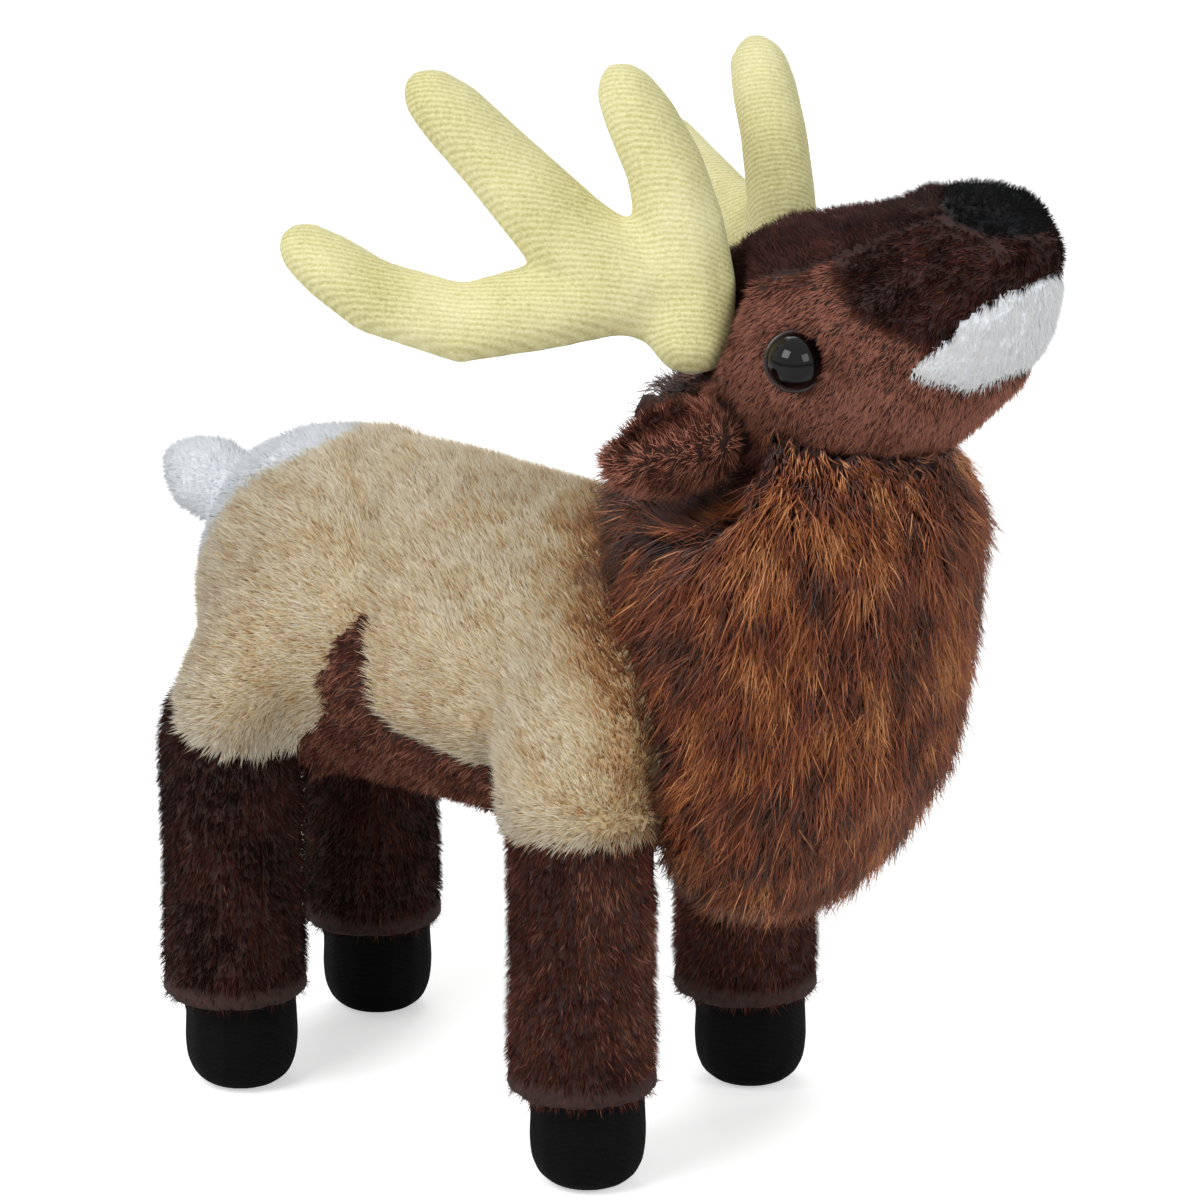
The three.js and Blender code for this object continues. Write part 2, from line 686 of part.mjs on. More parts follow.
// Trunk pieces
function rumpCutter(grow) {
  const oval = new THREE.SphereGeometry(1, 16, 10);
  oval.scale(patchHalfWidth + grow, patchHalfHeight + grow, patchHalfDepth + grow);
  return solidOf(oval.rotateX(-radians(patchPitch)).translate(0, rumpY - patchInset, loinHeight - patchDrop));
}

// Brown cloth runs under the belly and up each flank in a narrow wedge.
function bellyCutter(grow) {
  const hindHem = hindHip.z + grow;
  const frontHem = frontHip.z + grow;
  const hemRise = 0.56 * legRadius;
  const edge = flankY - 0.1 * wedgeWidth;
  const foot = wedgeTip - wedgeHeight;
  const under = 0.36 * bellyHeight;
  const outline = [
    [rumpY + legRadius, under],
    [rumpY + legRadius, hindHem + hemRise],
    [rumpY - hemRise, hindHem + hemRise],
    [hindHip.y - legRadius * 0.6, hindHem],
    [hindHip.y - legRadius * 1.12, hindHem],
    [edge + wedgeWidth + grow, foot],
    [edge + 0.88 * wedgeWidth + grow, foot + 0.37 * wedgeHeight],
    [edge + 0.55 * wedgeWidth + grow, foot + 0.69 * wedgeHeight],
    [flankY, wedgeTip + grow],
    [edge - grow, foot + 0.65 * wedgeHeight],
    [edge - grow, foot + 0.16 * wedgeHeight],
    [edge - 0.4 * wedgeWidth, foot + grow],
    [frontHip.y + legRadius * 1.65, frontHem + 0.35 * legRadius],
    [frontHip.y + legRadius * 1.1, frontHem + 0.35 * legRadius],
    [frontHip.y + legRadius * 0.77, frontHem],
    [frontHip.y - legRadius * 1.26, frontHem + 0.07 * legRadius],
    [chestY - legRadius, frontHem + 0.07 * legRadius],
    [chestY - legRadius, under],
  ];
  return solidOf(sideSlab(outline, far / 4));
}

function addTrunk() {
  const shell = cutBy(bodySolid(0), bodySolid(-clothWall), ...legRooms, tailRoom, ruffInside);
  const cover = cutBy(shell, bellyCutter(seamGap), rumpCutter(seamGap));
  for (const [name, side] of [["left", 1], ["right", -1]])
    addPiece(toy, `body_cover_${name}`, cover.intersect(sideHalf(side, seamGap)), materials.tanPlush);
  const belly = cutBy(shell.intersect(bellyCutter(0)), rumpCutter(seamGap));
  addPiece(toy, "belly_panel", belly, materials.brownPlush);
  const rump = cutBy(shell.intersect(rumpCutter(0)), bellyCutter(seamGap));
  addPiece(toy, "rump_patch", rump, materials.whitePlush);
  const core = cutBy(solidOf(barrelForm(-clothWall - seamGap)), ...legRooms, tailRoom, ruffInside);
  addPiece(toy, "body_filling", core, materials.filling);
}

function addTail() {
  const group = groupAt(toy, tailRoot);
  addPiece(group, "tail", solidOf(tailForm(0)), materials.whitePlush);
}

function addRuff() {
  const rooms = [...legRooms, ...roomsInRuff];
  const collar = cutBy(solidOf(ruffForm(0)), ruffInside, bodySolid(seamGap), ...rooms);
  addPiece(toy, "neck_ruff", collar, materials.manePlush);
  const core = cutBy(solidOf(ruffForm(-maneWall - seamGap)), ...rooms);
  addPiece(toy, "neck_filling", core, materials.filling);
}

function addLeg({ name, hip, side }) {
  const group = groupAt(toy, onSide(hip, side));
  const tube = solidOf(legForm(hip, side, 0)).intersect(above(hemHeight));
  const inside = solidOf(legForm(hip, side, -clothWall));
  addPiece(group, `leg_cover_${name}`, tube.subtract(inside), materials.brownPlush);
  addPiece(group, `hoof_${name}`, solidOf(hoofForm(hip, side)).intersect(above(0)), materials.hoofVelboa);
  const core = solidOf(legForm(hip, side, -clothWall - seamGap));
  const overHoof = above(hemHeight + hoofCollarDepth + seamGap);
  addPiece(group, `leg_filling_${name}`, core.intersect(overHoof), materials.filling);
}

function addHead() {
  const group = groupAt(toy, headCentre);
  const eyes = [1, -1].map((side) => solidOf(eyeForm(side, seamGap)));
  const rooms = [...earRooms, ...antlerRooms];
  const shell = cutBy(headSolid(0), headSolid(-clothWall), ...rooms, ...eyes);
  const patches = [noseCutter, mouthCutter, gussetCutter, chinCutter];
  const names = ["nose_patch", "mouth_patch", "forehead_gusset", "chin_panel"];
  const colours = [materials.blackPlush, materials.whitePlush, materials.gussetPlush, materials.brownPlush];
  patches.forEach((patch, i) => {
    const piece = cutBy(shell.intersect(patch(0)), ...patches.slice(0, i).map((other) => other(seamGap)));
    if (names[i] === "mouth_patch")
      for (const [name, side] of [["left", 1], ["right", -1]])
        addPiece(group, `mouth_patch_${name}`, piece.intersect(sideHalf(side, seamGap)), colours[i]);
    else addPiece(group, names[i], piece, colours[i]);
  });
  const cover = cutBy(shell, ...patches.map((patch) => patch(seamGap)));
  const core = cutBy(headSolid(-clothWall - seamGap), ...rooms, eyePocket(1), eyePocket(-1));
  addPiece(group, "head_filling", core, materials.filling);
  for (const [name, side] of [["left", 1], ["right", -1]]) {
    addPiece(group, `head_cover_${name}`, cover.intersect(sideHalf(side, seamGap)), materials.brownPlush);
    addPiece(group, `eye_${name}`, solidOf(eyeForm(side, 0)), materials.eyePlastic);
    addPiece(group, `eye_washer_${name}`, solidOf(washerForm(side)), materials.washerPlastic);
  }
  return group;
}

function addEars(head) {
  for (const [name, side] of [["left", 1], ["right", -1]]) {
    const group = groupAt(head, onSide(earRoot, side));
    addPiece(group, `ear_${name}`, solidOf(earForm(side, 0)), materials.brownPlush);
  }
}

function addAntlers(head) {
  for (const [name, pose] of [["left", leftAntler], ["right", rightAntler]]) {
    const group = groupAt(head, onSide(antlerBase, pose.side));
    const cover = antlerSolid(pose, 0).subtract(antlerSolid(pose, -antlerWall, true));
    addPiece(group, `antler_${name}`, cover, materials.antlerVelboa);
    addPiece(group, `antler_filling_${name}`, antlerSolid(pose, -antlerWall - seamGap), materials.filling);
  }
}

addTrunk();
addTail();
addRuff();
hips.forEach(addLeg);
const head = addHead();
addEars(head);
addAntlers(head);
toy.position.y = -middleY;

export default toy;
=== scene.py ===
"""Looks of a stuffed toy stag: sewn plush covers with their pile, soft antlers, hooves and safety eyes.

Lengths are in metres. The toy stands on Z = 0, faces -Y, and its own left is +X.
"""

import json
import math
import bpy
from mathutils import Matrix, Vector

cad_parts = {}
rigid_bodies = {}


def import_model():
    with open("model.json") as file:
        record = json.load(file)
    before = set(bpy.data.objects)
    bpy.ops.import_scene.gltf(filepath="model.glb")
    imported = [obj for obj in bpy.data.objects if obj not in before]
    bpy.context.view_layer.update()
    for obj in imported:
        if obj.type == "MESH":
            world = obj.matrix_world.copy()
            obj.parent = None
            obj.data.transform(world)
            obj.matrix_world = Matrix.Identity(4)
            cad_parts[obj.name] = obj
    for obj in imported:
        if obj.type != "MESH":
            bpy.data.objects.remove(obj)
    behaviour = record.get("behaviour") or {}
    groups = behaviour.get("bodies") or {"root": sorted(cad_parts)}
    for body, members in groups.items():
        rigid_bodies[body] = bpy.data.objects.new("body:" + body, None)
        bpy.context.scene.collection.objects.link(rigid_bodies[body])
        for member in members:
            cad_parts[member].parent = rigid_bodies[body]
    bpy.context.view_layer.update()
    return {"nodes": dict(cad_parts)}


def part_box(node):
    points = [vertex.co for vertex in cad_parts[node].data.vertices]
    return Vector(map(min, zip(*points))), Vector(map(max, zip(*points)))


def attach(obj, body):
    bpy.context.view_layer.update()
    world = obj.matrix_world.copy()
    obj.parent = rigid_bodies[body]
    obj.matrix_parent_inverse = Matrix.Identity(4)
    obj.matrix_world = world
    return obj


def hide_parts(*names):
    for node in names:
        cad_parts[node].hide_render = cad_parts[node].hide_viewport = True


bl_info = {
    "name": "Plush Stag",
    "version": (1, 0, 0),
    "blender": (4, 5, 0),
    "location": "View3D > Sidebar > Plush Stag",
    "description": "Dresses a stuffed toy stag in plush, velboa and plastic eyes",
    "category": "Object",
}

import bpy
import numpy as np
from bpy.props import FloatProperty, FloatVectorProperty, PointerProperty
from mathutils import Vector
from mathutils.bvhtree import BVHTree
from mathutils.kdtree import KDTree

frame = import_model()

MM = 0.001
MM2_PER_M2 = 1e6
UV_NAME = "OFBake"

SIDES = ["left", "right"]
LEGS = ["front_left", "front_right", "hind_left", "hind_right"]
TRUNK = ["body_cover_left", "body_cover_right", "belly_panel", "rump_patch", "body_filling"]
HEAD_COVERS = ["head_cover_left", "head_cover_right", "forehead_gusset", "chin_panel", "nose_patch",
               "mouth_patch_left", "mouth_patch_right"]
HEAD = [*HEAD_COVERS, "head_filling"]

# How each stuffed form is made: the size of its voxels, its smoothing steps, how far its skin lies
# under the solids' surface so that the pile ends near it, and half the width of the gaps it bridges
FORMS = {
    "trunk": dict(voxel=1.8 * MM, relax=8, under=1.4 * MM, close=2.4 * MM),
    "tail": dict(voxel=1.0 * MM, relax=10, under=0.7 * MM),
    "ruff": dict(voxel=1.9 * MM, relax=7, under=3.4 * MM, close=3.2 * MM, blown=False),
    "leg": dict(voxel=1.6 * MM, relax=8, under=1.1 * MM),
    "hoof": dict(voxel=1.0 * MM, relax=8, under=-0.05 * MM),
    "head": dict(voxel=1.3 * MM, relax=8, under=0.9 * MM, close=2.0 * MM),
    "ear": dict(voxel=1.0 * MM, relax=8, under=0.9 * MM),
    "antler": dict(voxel=1.0 * MM, relax=12, under=-0.25 * MM),
}
STUFFING_VOXEL = 2.4 * MM
STUFFING_RELAX = 4

# How each pile stands: the width of a tuft, tufts to a square millimetre, the angles at which its
# lower and upper parts rise, the size of the clumps in millimetres and how far tips lean to their
# middles, how far tufts stray and curl, how much their tones differ, how far they are shaded as one
# surface, and how near another piece has to be to keep them away
PILES = {
    "tan": dict(width=0.44 * MM, density=8.2, lift=(50, 26), clump=(1.3, 0.4), ruffle=0.2, vary=0.15),
    "belly": dict(width=0.46 * MM, density=3.8, clump=(1.8, 0.4), ruffle=0.35, vary=0.2),
    "white": dict(width=0.42 * MM, density=9.0, clump=(1.2, 0.15), soft=0.9, vary=0.08),
    "ruff": dict(width=0.38 * MM, density=4.2, lift=(46, 14), bent=True, clump=(2.2, 0.55), ruffle=0.16,
                 soft=0.3, vary=0.16, reach=0.8 * MM),
    "rim": dict(width=0.4 * MM, density=4.5, lift=(60, 45), clump=(2.4, 0.4), soft=0.3, reach=0.6 * MM),
    "leg": dict(width=0.44 * MM, density=4.5, lift=(46, 16), clump=(2.0, 0.45), ruffle=0.22, vary=0.18,
                reach=6.0 * MM),
    "cheek": dict(width=0.38 * MM, density=8.5, lift=(42, 14), clump=(1.5, 0.45), ruffle=0.2, vary=0.2),
    "mouth": dict(width=0.42 * MM, density=9.0, lift=(26, 6), ruffle=0.15, soft=0.8),
    "forehead": dict(width=0.42 * MM, density=9.0, lift=(62, 25), swirl=1.6, clump=(1.8, 0.5), ruffle=0.4,
                     vary=0.2),
    "chin": dict(width=0.38 * MM, density=9.0, lift=(38, 12)),
    "nose": dict(width=0.42 * MM, density=9.0, lift=(60, 30), swirl=1.2, clump=(1.6, 0.5), ruffle=0.4),
    "ear": dict(width=0.42 * MM, density=7.5, lift=(46, 18), clump=(2.2, 0.5), vary=0.18),
}
RIM_HAIR = 6.5 * MM
WHITE_TONE = 0.45

# Places read off the toy, in millimetres on its right side: creases, a dart and puckers of the
# sewing, the hollow of the ear, and how far forward and how high the muzzle's dark cloth begins
HAUNCH_CREASE = [(-8, 42, 121), (-13.4, 38.1, 119.3), (-19.3, 34.6, 113.8), (-24.9, 31.8, 106.4),
                 (-28.5, 30.3, 98.1)]
SHOULDER_DART = [(-30.5, 0.2, 84), (-30.2, 0.6, 81.8), (-29.3, 1.6, 77.5), (-26.5, 4.3, 71.5)]
PUCKERS = [(-25.2, 15.8, 105.5), (-8.5, 19.5, 118.8), (-5.0, 9.0, 118.5), (-19.0, 6.0, 111.0)]
EAR_HOLLOW = [(-28, -36.5, 143.5), (-33, -34, 142.5), (-38, -31.5, 141.5)]
MUZZLE_LINE = [(40, 162), (45.5, 164.5), (57.9, 168.8), (64.1, 163.6), (72.1, 160.5), (77.5, 157.9),
               (90, 150)]

# Where the tan pile is cut in two pieces, and where the ruff narrows towards the antlers' roots
TAN_CUT = 30 * MM
NAPE_HEIGHT = 126 * MM
NAPE_FRONT = -42 * MM

# Lamps: azimuth and elevation in degrees, distance and size in metres, power in watts
LAMPS = {
    "key": (-105, 40, 0.9, 0.45, 4.6),
    "fill": (-15, 26, 1.0, 0.45, 2.6),
    "back": (120, 45, 1.0, 0.6, 3.0),
}
LENS = 168
SENSOR = 36
CAMERA_TARGET = (0, -2.5 * MM, 98 * MM)


def linear(code):
    """An sRGB hex colour as the linear RGBA that a shader wants."""
    parts = [int(code[i : i + 2], 16) / 255 for i in (1, 3, 5)]
    return [c / 12.92 if c <= 0.04045 else ((c + 0.055) / 1.055) ** 2.4 for c in parts] + [1.0]


# Settings that a user would change


class StagPile(bpy.types.PropertyGroup):
    """Lengths and density of the pile"""

    tan_length: FloatProperty(
        name="Tan pile", description="Length of the body's tan pile", default=2.7 * MM, unit="LENGTH")
    brown_length: FloatProperty(
        name="Brown pile", description="Length of the short brown pile", default=2.6 * MM, unit="LENGTH")
    ruff_length: FloatProperty(
        name="Ruff hair", description="Length of the ruff's long pile", default=8.5 * MM, unit="LENGTH")
    density: FloatProperty(
        name="Density", description="Share of the full count of tufts", default=1.0, min=0.05, max=1.2,
        subtype="FACTOR")


def colour_property(name, about, code):
    return FloatVectorProperty(
        name=name, description=about, subtype="COLOR", size=4, min=0, max=1, default=linear(code))


class StagColours(bpy.types.PropertyGroup):
    """Main tone of each plush and velboa"""

    tan: colour_property("Tan", "Common tone of the tan plush's tips", "#E6D8BA")
    brown: colour_property("Brown", "Common tone of the brown plush's tips", "#84503F")
    ruff: colour_property("Ruff", "Common tone of the ruff's tips", "#96481F")
    white: colour_property("White", "Common tone of the rump's and tail's tips", "#E8EDF2")
    antler: colour_property("Antlers", "Middle tone of the antlers' velboa", "#D2CC96")
    nose: colour_property("Nose", "Common tone of the nose's tips", "#0E0F11")
    hoof: colour_property("Hooves", "Middle tone of the hooves' velboa", "#050506")


class StagStage(bpy.types.PropertyGroup):
    """Where the camera stands"""

    azimuth: FloatProperty(
        name="Azimuth", description="Way round to the camera", default=math.radians(-58.1), subtype="ANGLE")
    elevation: FloatProperty(
        name="Elevation", description="Camera's height as an angle", default=math.radians(17.4),
        subtype="ANGLE")
    distance: FloatProperty(
        name="Distance", description="Camera to the toy's middle", default=1.0, unit="LENGTH")


# Arrays and meshes


def arrays(obj):
    """Corner positions and triangles of a mesh."""
    mesh = obj.data
    co = np.empty(len(mesh.vertices) * 3)
    mesh.vertices.foreach_get("co", co)
    mesh.calc_loop_triangles()
    tri = np.empty(len(mesh.loop_triangles) * 3, np.int32)
    mesh.loop_triangles.foreach_get("vertices", tri)
    return co.reshape(-1, 3), tri.reshape(-1, 3)


def unit(v):
    return v / np.maximum(np.linalg.norm(v, axis=1, keepdims=True), 1e-12)


def corner_normals(co, tri):
    cross = np.cross(co[tri[:, 1]] - co[tri[:, 0]], co[tri[:, 2]] - co[tri[:, 0]])
    total = np.zeros_like(co)
    for k in range(3):
        np.add.at(total, tri[:, k], cross)
    return unit(total)


def new_object(name, co, tri):
    mesh = bpy.data.meshes.new(name)
    mesh.vertices.add(len(co))
    mesh.vertices.foreach_set("co", np.ascontiguousarray(co, np.float32).ravel())
    mesh.loops.add(len(tri) * 3)
    mesh.loops.foreach_set("vertex_index", np.ascontiguousarray(tri, np.int32).ravel())
    mesh.polygons.add(len(tri))
    mesh.polygons.foreach_set("loop_start", np.arange(0, len(tri) * 3, 3, dtype=np.int32))
    mesh.update(calc_edges=True)
    obj = bpy.data.objects.new(name, mesh)
    bpy.context.collection.objects.link(obj)
    return obj


def choose(obj):
    bpy.ops.object.select_all(action="DESELECT")
    bpy.context.view_layer.objects.active = obj
    obj.select_set(True)


def modify(obj, kind, **settings):
    """Adds a modifier with these settings and applies it."""
    choose(obj)
    modifier = obj.modifiers.new(kind.title(), kind)
    for key, value in settings.items():
        setattr(modifier, key, value)
    bpy.ops.object.modifier_apply(modifier=modifier.name)


def copy_of(name, nodes):
    """One new mesh with the corners of these CAD nodes, merged."""
    points, faces, start = [], [], 0
    for node in nodes:
        co, tri = arrays(frame["nodes"][node])
        points.append(co)
        faces.append(tri + start)
        start += len(co)
    obj = new_object(name, np.concatenate(points), np.concatenate(faces))
    modify(obj, "WELD", merge_threshold=0.01 * MM)
    return obj


def drop_inner(obj):
    """Keeps only the outer skin, and not the skins of gaps inside."""
    choose(obj)
    mesh = obj.data
    co = np.empty(len(mesh.vertices) * 3)
    mesh.vertices.foreach_get("co", co)
    picked = np.zeros(len(mesh.vertices), bool)
    picked[np.argmin(co[1::3])] = True
    mesh.polygons.foreach_set("select", np.zeros(len(mesh.polygons), bool))
    mesh.edges.foreach_set("select", np.zeros(len(mesh.edges), bool))
    mesh.vertices.foreach_set("select", picked)
    bpy.ops.object.mode_set(mode="EDIT")
    bpy.ops.mesh.select_mode(type="VERT")
    bpy.ops.mesh.select_linked()
    bpy.ops.mesh.select_all(action="INVERT")
    bpy.ops.mesh.delete(type="VERT")
    bpy.ops.object.mode_set(mode="OBJECT")


def set_corners(obj, co):
    obj.data.vertices.foreach_set("co", co.ravel())
    obj.data.update()


def kd_tree(points):
    tree = KDTree(len(points))
    for i, q in enumerate(points.tolist()):
        tree.insert(q, i)
    tree.balance()
    return tree


def remove(obj):
    mesh = obj.data
    bpy.data.objects.remove(obj)
    bpy.data.meshes.remove(mesh)


def swell(obj, voxel, pressure=4.0, cap=1.2 * MM, steps=20):
    """Blows a form up with the cloth simulation, as stuffing does. A coarser copy is blown up, each of
    its corners moves this far at most, and the fine form follows the four nearest of them."""
    coarse = obj.copy()
    coarse.data = obj.data.copy()
    bpy.context.collection.objects.link(coarse)
    modify(coarse, "REMESH", mode="VOXEL", voxel_size=voxel)
    rest, _ = arrays(coarse)
    cover = coarse.modifiers.new("Cover", "CLOTH")
    cover.settings.use_pressure = True
    cover.settings.uniform_pressure_force = pressure
    cover.settings.effector_weights.gravity = 0
    cover.point_cache.frame_start = 1
    cover.point_cache.frame_end = steps
    for step in range(1, steps + 1):
        bpy.context.scene.frame_set(step)
    choose(coarse)
    bpy.ops.object.modifier_apply(modifier=cover.name)
    bpy.context.scene.frame_set(1)
    blown, _ = arrays(coarse)
    moved = blown - rest
    size = np.linalg.norm(moved, axis=1, keepdims=True)
    moved *= np.minimum(1, cap / np.maximum(size, 1e-9))
    guide = kd_tree(rest)
    co, _ = arrays(obj)
    shift = np.zeros_like(co)
    for i, q in enumerate(co.tolist()):
        found = guide.find_n(q, 4)
        weights = [1 / (far + 0.2 * voxel) for _, _, far in found]
        shift[i] = sum(w * moved[k] for w, (_, k, _) in zip(weights, found)) / sum(weights)
    set_corners(obj, co + np.round(shift, 5))
    remove(coarse)


def stuffed(name, nodes, voxel, relax, under, close=0, blown=True):
    """The rounded outer form of CAD nodes taken together, this far under their surface, with gaps up
    to twice this much closed."""
    obj = copy_of(name, nodes)
    modify(obj, "REMESH", mode="VOXEL", voxel_size=voxel)
    if close:
        modify(obj, "DISPLACE", strength=close, mid_level=0)
        modify(obj, "REMESH", mode="VOXEL", voxel_size=voxel)
    drop_inner(obj)
    if close:
        modify(obj, "DISPLACE", strength=-close, mid_level=0)
    modify(obj, "SMOOTH", factor=0.5, iterations=relax)
    modify(obj, "DISPLACE", strength=-under, mid_level=0)
    modify(obj, "SMOOTH", factor=0.5, iterations=2)
    if blown:
        swell(obj, 2.2 * voxel)
    return obj


def tree_of(nodes):
    points, faces, owner, start = [], [], [], 0
    for i, node in enumerate(nodes):
        co, tri = arrays(frame["nodes"][node])
        points.append(co)
        faces.append(tri + start)
        owner += [i] * len(tri)
        start += len(co)
    tree = BVHTree.FromPolygons(np.concatenate(points).tolist(), np.concatenate(faces).tolist())
    return tree, np.array(owner)


def press(co, lines, depth, reach):
    """How far corners are drawn in along these lines of places, in millimetres, on both sides."""
    points = []
    for line in lines:
        line = np.array(line, float) * MM
        for a, b in zip(line, [*line[1:], line[-1]]):
            points += [a + (b - a) * k / 8 for k in range(8)]
    points = np.array(points)
    points = np.concatenate([points, points * [-1, 1, 1]])
    near = np.min([np.linalg.norm(co - q, axis=1) for q in points], axis=0)
    return depth * np.exp(-((near / reach) ** 2))


def patches(form, nodes, under, seam=0.45 * MM, reach=1.5 * MM, dents=()):
    """Shares a form that lies this far under the CAD surface out among the nodes nearest to it, with
    its seams and dents drawn in."""
    co, tri = arrays(form)
    tree, owner = tree_of(nodes)
    outer = co + corner_normals(co, tri) * under
    middle = outer[tri].mean(1)
    nearest = np.array([owner[tree.find_nearest(p)[2]] for p in middle.tolist()])
    low, high = np.full(len(co), len(nodes)), np.full(len(co), -1)
    for k in range(3):
        np.minimum.at(low, tri[:, k], nearest)
        np.maximum.at(high, tri[:, k], nearest)
    sewn = co[low != high]
    drawn = np.zeros(len(co))
    if len(sewn):
        line = kd_tree(sewn)
        far = np.array([line.find(q)[2] for q in co.tolist()])
        drawn += seam * np.exp(-((far / reach) ** 2))
    for lines, depth, width in dents:
        drawn += press(co, lines, depth, width)
    co = co - corner_normals(co, tri) * drawn[:, None]
    normal = corner_normals(co, tri)
    return {node: (co, tri[nearest == i], normal) for i, node in enumerate(nodes)}


def part_of(patch, keep):
    """The triangles of a patch whose middles pass this test."""
    co, tri, normal = patch
    return co, tri[keep(co[tri].mean(1))], normal


def used_only(co, tri, normal):
    keep, back = np.unique(tri, return_inverse=True)
    return co[keep], back.reshape(-1, 3), normal[keep]


# Pile: each tuft is a closed, tapered cone of three sides, with a bend in it where it is long


def signed_volume(co, tri):
    """Six times the volume of a closed tuft, below zero where it is inside out."""
    a, b, c = (co[tri[:, k]] - co[0] for k in range(3))
    return (a * np.cross(b, c)).sum()


def hashed(cell, seed):
    """Three even random numbers for each whole-number cell."""
    cell = cell.astype(np.int64)
    mixed = (cell[:, 0] * 73856093) ^ (cell[:, 1] * 19349663) ^ (cell[:, 2] * 83492791) ^ (seed * 2654435761)
    out = []
    for k in range(3):
        value = (mixed + k * 7919) * 6364136223846793005 + 1442695040888963407
        value ^= value >> 29
        value = value * 2862933555777941757 + 3037000493
        out.append(((value >> 33) & 0xFFFFF) / 0xFFFFF)
    return np.stack(out, 1)


def drift(points, size, seed):
    """Smooth random vectors, -1 to 1, that change over this size."""
    at = points / size + 1000
    low = np.floor(at)
    part = at - low
    part = part * part * (3 - 2 * part)
    total = 0
    for corner in np.ndindex(2, 2, 2):
        share = np.prod(np.where(np.array(corner) == 1, part, 1 - part), axis=1, keepdims=True)
        total = total + share * hashed(low + corner, seed)
    return total * 2 - 1


def near(tree, p, reach):
    """From 0 at this reach or past it, to 1 on the surface."""
    far = np.array([tree.find_nearest(q)[3] for q in p.tolist()])
    return np.clip(1 - far / reach, 0, 1)


def spots(p, places, size):
    """From 1 at these places, in millimetres and mirrored, to 0 away from them."""
    points = np.array(places) * MM
    points = np.concatenate([points, points * [-1, 1, 1]])
    far = np.min([np.linalg.norm(p - q, axis=1) for q in points], axis=0)
    return np.exp(-((far / size) ** 2))


# Shares of a tuft's length and width: the least and the random rest of each, its parts below and
# beyond the bend, how far its tip strays, how far its nap turns with its neighbours', and how deep
# its root stands in the cloth
SHORTEST, LENGTH_SPREAD = 0.72, 0.5
THINNEST, WIDTH_SPREAD = 0.75, 0.5
BEND_AT, BEYOND_BEND = 0.42, 0.58
STRAY = 0.12
NAP_DRIFT = 0.3
ROOT_DEPTH = 0.5 * MM


